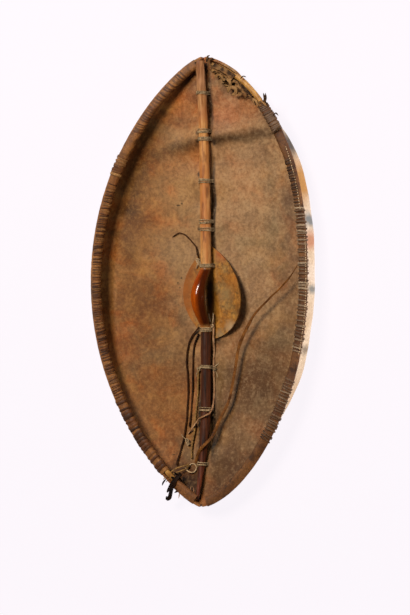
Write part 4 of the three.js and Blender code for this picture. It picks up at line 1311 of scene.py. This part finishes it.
# Knots and loose ends of thong about the grip, the lower stick and the rim
finish(joined("grip_knot", [
    knot((-16.5, 45.1, 16), 4.6, 1.2),
    knot((-12, 39, 17), 3.6, 1.1),
    loose_strip([(-16, 40, 17), (-20, 33, 13), (-23, 27, 11.5)], 2.6, 1.4),
]), cream_thong, "thong")
finish(joined("grip_fork", [
    loose_strip([(8.8, -66, 18.5), (11.4, -78.8, 20), (14.6, -90, 19.5)], 2.4, 1.6),
    loose_strip([(18.7, -65, 18.5), (19.4, -76, 20.5), (18.4, -90, 20)], 2.4, 1.6),
    knot((16.5, -93, 19.5), 3.4, 1.0),
]), cream_thong, "thong")
finish(joined("lower_knots", [
    knot((-14.3, -185.8, 15.5), 4.6, 1.2),
    knot((19.2, -183.8, 15.5), 4.8, 1.2),
    loose_strip([(-15, -189, 15), (-21, -195, 11), (-23, -203, 9.5)], 2.2, 1.3),
    loose_strip([(21, -180, 16), (27, -174, 12), (31, -171, 10)], 2.2, 1.3),
    loose_strip([(21, -187, 15), (25, -195, 12), (26, -203, 11)], 2.0, 1.2),
    knot((-39.7, -337.1, 19.5), 4.2, 1.2),
    knot((-37, -344, 20), 3.4, 1.1),
    loose_strip([(-42, -334, 19), (-49, -330, 18), (-54, -324, 16.5)], 2.0, 1.2),
]), grey_twist, "thong")
finish(joined("loop_strands", [
    loose_strip([
        (-33.4, -387.4, 29), (-48.3, -391.7, 33), (-61.8, -397.9, 40), (-73, -410.6, 51), (-80, -418, 57),
    ], 3.0, 1.6),
    loose_strip([
        (-33.4, -393.8, 29), (-48, -400.1, 34), (-61.1, -406.4, 42), (-69, -416, 51), (-74, -424, 56),
    ], 2.4, 1.5),
    knot((-34.5, -390, 30), 3.6, 1.1),
]), gold_thong, "thong")
finish(joined("rim_knot", [
    loose_strip([
        (-56, -403, 52), (-48, -412, 47), (-44.7, -425, 42), (-50, -440, 43), (-57, -446, 49),
    ], 5.0, 2.6),
    loose_strip([(-62, -412, 56), (-52, -421, 50), (-44, -430, 43), (-40, -442, 41)], 5.5, 2.6),
    loose_strip([
        (-48, -404, 40), (-53, -414, 44), (-51, -430, 45), (-44, -441, 43), (-43, -450, 42),
    ], 4.5, 2.4),
    knot((-49, -423, 48), 6.5, 1.9),
    knot((-53, -433, 50), 5.5, 1.7),
]), black_thong, "thong")
finish(joined("tip_stitches", [
    loose_strip([(x, -434, z), (x + lean, -446, z + 4), (x + 1.4 * lean, -458, z + 8)], 2.2, 1.5)
    for x, lean, z in [(-46, -2.5, 36.5), (-39.5, 1, 35.5), (-33, 1.5, 35), (-26, 1, 35), (-19, 1.5, 35.5)]
]), red_thong, "thong")


# Torn rawhide at the upper right: a crumpled sheet come away from the rim, with painted shade in its hollows
# How far it reaches into the dish at places along the rim
TORN_REACH = [(0.79, 5), (0.83, 9), (0.845, 20), (0.86, 50), (0.9, 68), (0.95, 46), (0.985, 16)]


def torn_sheet(ends, start_degrees, seed, most):
    rim = RIMS["right"]
    us = np.linspace(*ends, round((ends[1] - ends[0]) * HALF_LENGTH / 0.9))
    lines = np.linspace(1, 0, 200)
    rows, tones = [], []
    for u in us:
        point, normal, rimward, _, centre, _ = rim.at(u)
        inner, inward, _ = hull_frame(u, lines)
        inner = inner + inward * HIDE_THICKNESS
        arc = hoop_arc(centre, HOOP_RADIUS + 1.6, range(start_degrees, -41, -15))
        round_hoop = np.array([point + across * normal + up * rimward for across, up in arc])
        keep = run_along(inner) > centre[0] + HOOP_RADIUS + 3
        path = np.concatenate([round_hoop, inner[keep]])
        lift_way = np.concatenate([np.repeat(unit(normal + rimward)[None], len(round_hoop), 0), inward[keep]])
        run = run_along(path)
        round_run = run[len(round_hoop) - 1]
        ragged = 1 + 0.35 * noise.fractal(Vector((u * HALF_LENGTH / 9, seed, 0)), 0.6, 2.0, 4)
        reach = round_run + np.interp(u, *zip(*TORN_REACH)) * most * ragged
        at = np.linspace(0, reach, 60)
        spot = places_along(path, run, at)
        way = unit(places_along(lift_way, run, at))
        y = u * HALF_LENGTH
        crease = [1 - 2.6 * abs(noise.noise(Vector((y / 16 + d / 30, d / 8, seed)))) for d in at]
        crease = np.clip(crease, 0, 1)
        small = np.array([noise.noise(Vector((y / 5, d / 5, seed + 4))) for d in at])
        free = ease((at - 2) / 10)
        edge = ease((at - reach + 9) / 9)
        curled = 6.0 * edge * (0.35 + 0.65 * crease)
        lift = 1.2 + free * (7.5 * crease**1.5 + 2.0 * small + curled)
        rows.append(spot + way * lift[:, None])
        # the tone is mostly painted light and shade: paler the higher the sheet stands, darker where it lies
        # low, with some mottling
        tones.append(np.clip(0.02 + 0.085 * lift + 0.3 * small, 0, 1))
    obj = sheet_from("torn", np.array(rows))
    tone = obj.data.attributes.new("tone", "FLOAT", "POINT")
    tone.data.foreach_set("value", np.array(tones, np.float32).ravel())
    thicken(obj, 1.3)
    return obj


# Curled pieces: route, width, thickness and tone; and slivers that stand on the hoop: route, width and tone
TORN_CURLS = [
    ([(55, 398, 32), (66, 408, 40), (78, 404, 44), (76, 395, 40), (66, 393, 34)], 7, 1.6, 0.75),
    ([(74, 412, 38), (87, 408, 46), (93, 399, 46), (86, 392, 40), (78, 396, 36)], 7, 1.6, 0.6),
    ([(46, 424, 34), (58, 425, 43), (66, 416, 44), (62, 408, 38), (54, 408, 33)], 6, 1.5, 0.8),
    ([(60, 414, 36), (70, 420, 44), (80, 418, 46), (82, 410, 42)], 6, 1.5, 0.45),
    ([(28, 430, 32), (38, 436, 38), (46, 430, 38), (44, 422, 33)], 6, 1.5, 0.7),
    ([(20, 444, 32), (30, 446, 38), (40, 442, 40), (42, 434, 36)], 6, 1.5, 0.9),
    ([(90, 398, 42), (99, 394, 50), (103, 387, 50), (98, 382, 44)], 5, 1.4, 0.5),
]
TORN_SLIVERS = [
    ([(107.9, 389.6, 50), (118.3, 379.1, 54), (123.1, 370.7, 55)], 4.5, 0.6),
    ([(114.6, 383.2, 50), (128, 374.9, 56), (129.8, 364.4, 55)], 4.0, 0.9),
    ([(123.5, 376.9, 50), (132.4, 368.6, 57), (141.4, 364.4, 57)], 4.5, 0.4),
    ([(131, 372.8, 53), (142.1, 372.8, 59), (151, 364.4, 59)], 4.0, 0.7),
    ([(140.6, 368.6, 55), (147.3, 379.1, 61), (146.5, 391, 65)], 4.0, 0.15),
    ([(142.9, 366.6, 55), (150.5, 379.2, 61), (150.7, 390.8, 65)], 3.5, 0.1),
    ([(90.8, 423.2, 52), (98.9, 428.4, 56), (106.3, 426.2, 58)], 2.5, 0.1),
    ([(165.2, 343.4, 60), (173.3, 348.6, 64), (178.8, 343.4, 64)], 3.0, 0.1),
    ([(158, 306.4, 55), (168, 309, 60), (176, 316, 62), (183, 322.1, 61)], 3.5, 0.05),
    ([(12, 462, 41), (16, 474, 44), (20, 476, 44)], 5.0, 0.0),
    ([(15, 455, 40), (20, 468, 44), (28, 470, 44)], 5.0, 0.3),
]


# Torn hide: raw, dull and fibrous; painted light makes its crests tan and painted shade its creases nearly
# black
def torn_hide():
    f = Finish("torn_rawhide", roughness=0.88, ior=1.4)
    tone = f.tone()
    patches = f.noise(8, 4, shift=3.0)
    colour = f.blend(f.spread(tone, 0.1, 0.5), "33200f", "7a5530")
    colour = f.blend(f.spread(tone, 0.5, 0.95), colour, "a07c50")
    colour = f.blend(f.spread(patches, 0.5, 0.68, 0.0, 0.6), colour, "94714a")
    colour = f.blend(f.spread(f.noise(6, 4, shift=8.0), 0.5, 0.62, 0.0, 0.7), colour, "2e1a0c")
    grain = f.noise(2.0, 3)
    return f.end(colour, grain, 0.5)


torn = [torn_sheet((0.8, 0.982), 10, 3.0, 1.0), torn_sheet((0.925, 0.985), 120, 8.0, 0.7)]
torn += [loose_strip(route, wide, thick, tone) for route, wide, thick, tone in TORN_CURLS]
torn += [loose_strip(route, wide, 1.3, tone) for route, wide, tone in TORN_SLIVERS]
finish(joined("torn_rim_sheet", torn), torn_hide(), "rawhide", "torn_rim_hide", degrees=50)


# Folded end of a strap, hardened and black with handling, hanging outside the rim
finish(joined("strap_end_folds", [
    loose_strip([
        (-45, -406, 42), (-50, -414, 52), (-54, -422, 58), (-60, -432, 55), (-65, -441, 48),
        (-69, -450, 42), (-73, -458, 38.5), (-78, -460, 37.5), (-79, -455, 38.5),
    ], 9.0, 3.4),
    loose_strip([
        (-49, -410, 46), (-56, -420, 59), (-63, -430, 57), (-69.5, -439, 51), (-75, -446, 47),
    ], 6.5, 2.8),
    loose_strip([(-73, -417, 59), (-79, -424, 58), (-83, -431, 55)], 3.5, 1.6),
]), black_thong, "thong", "strap_end")
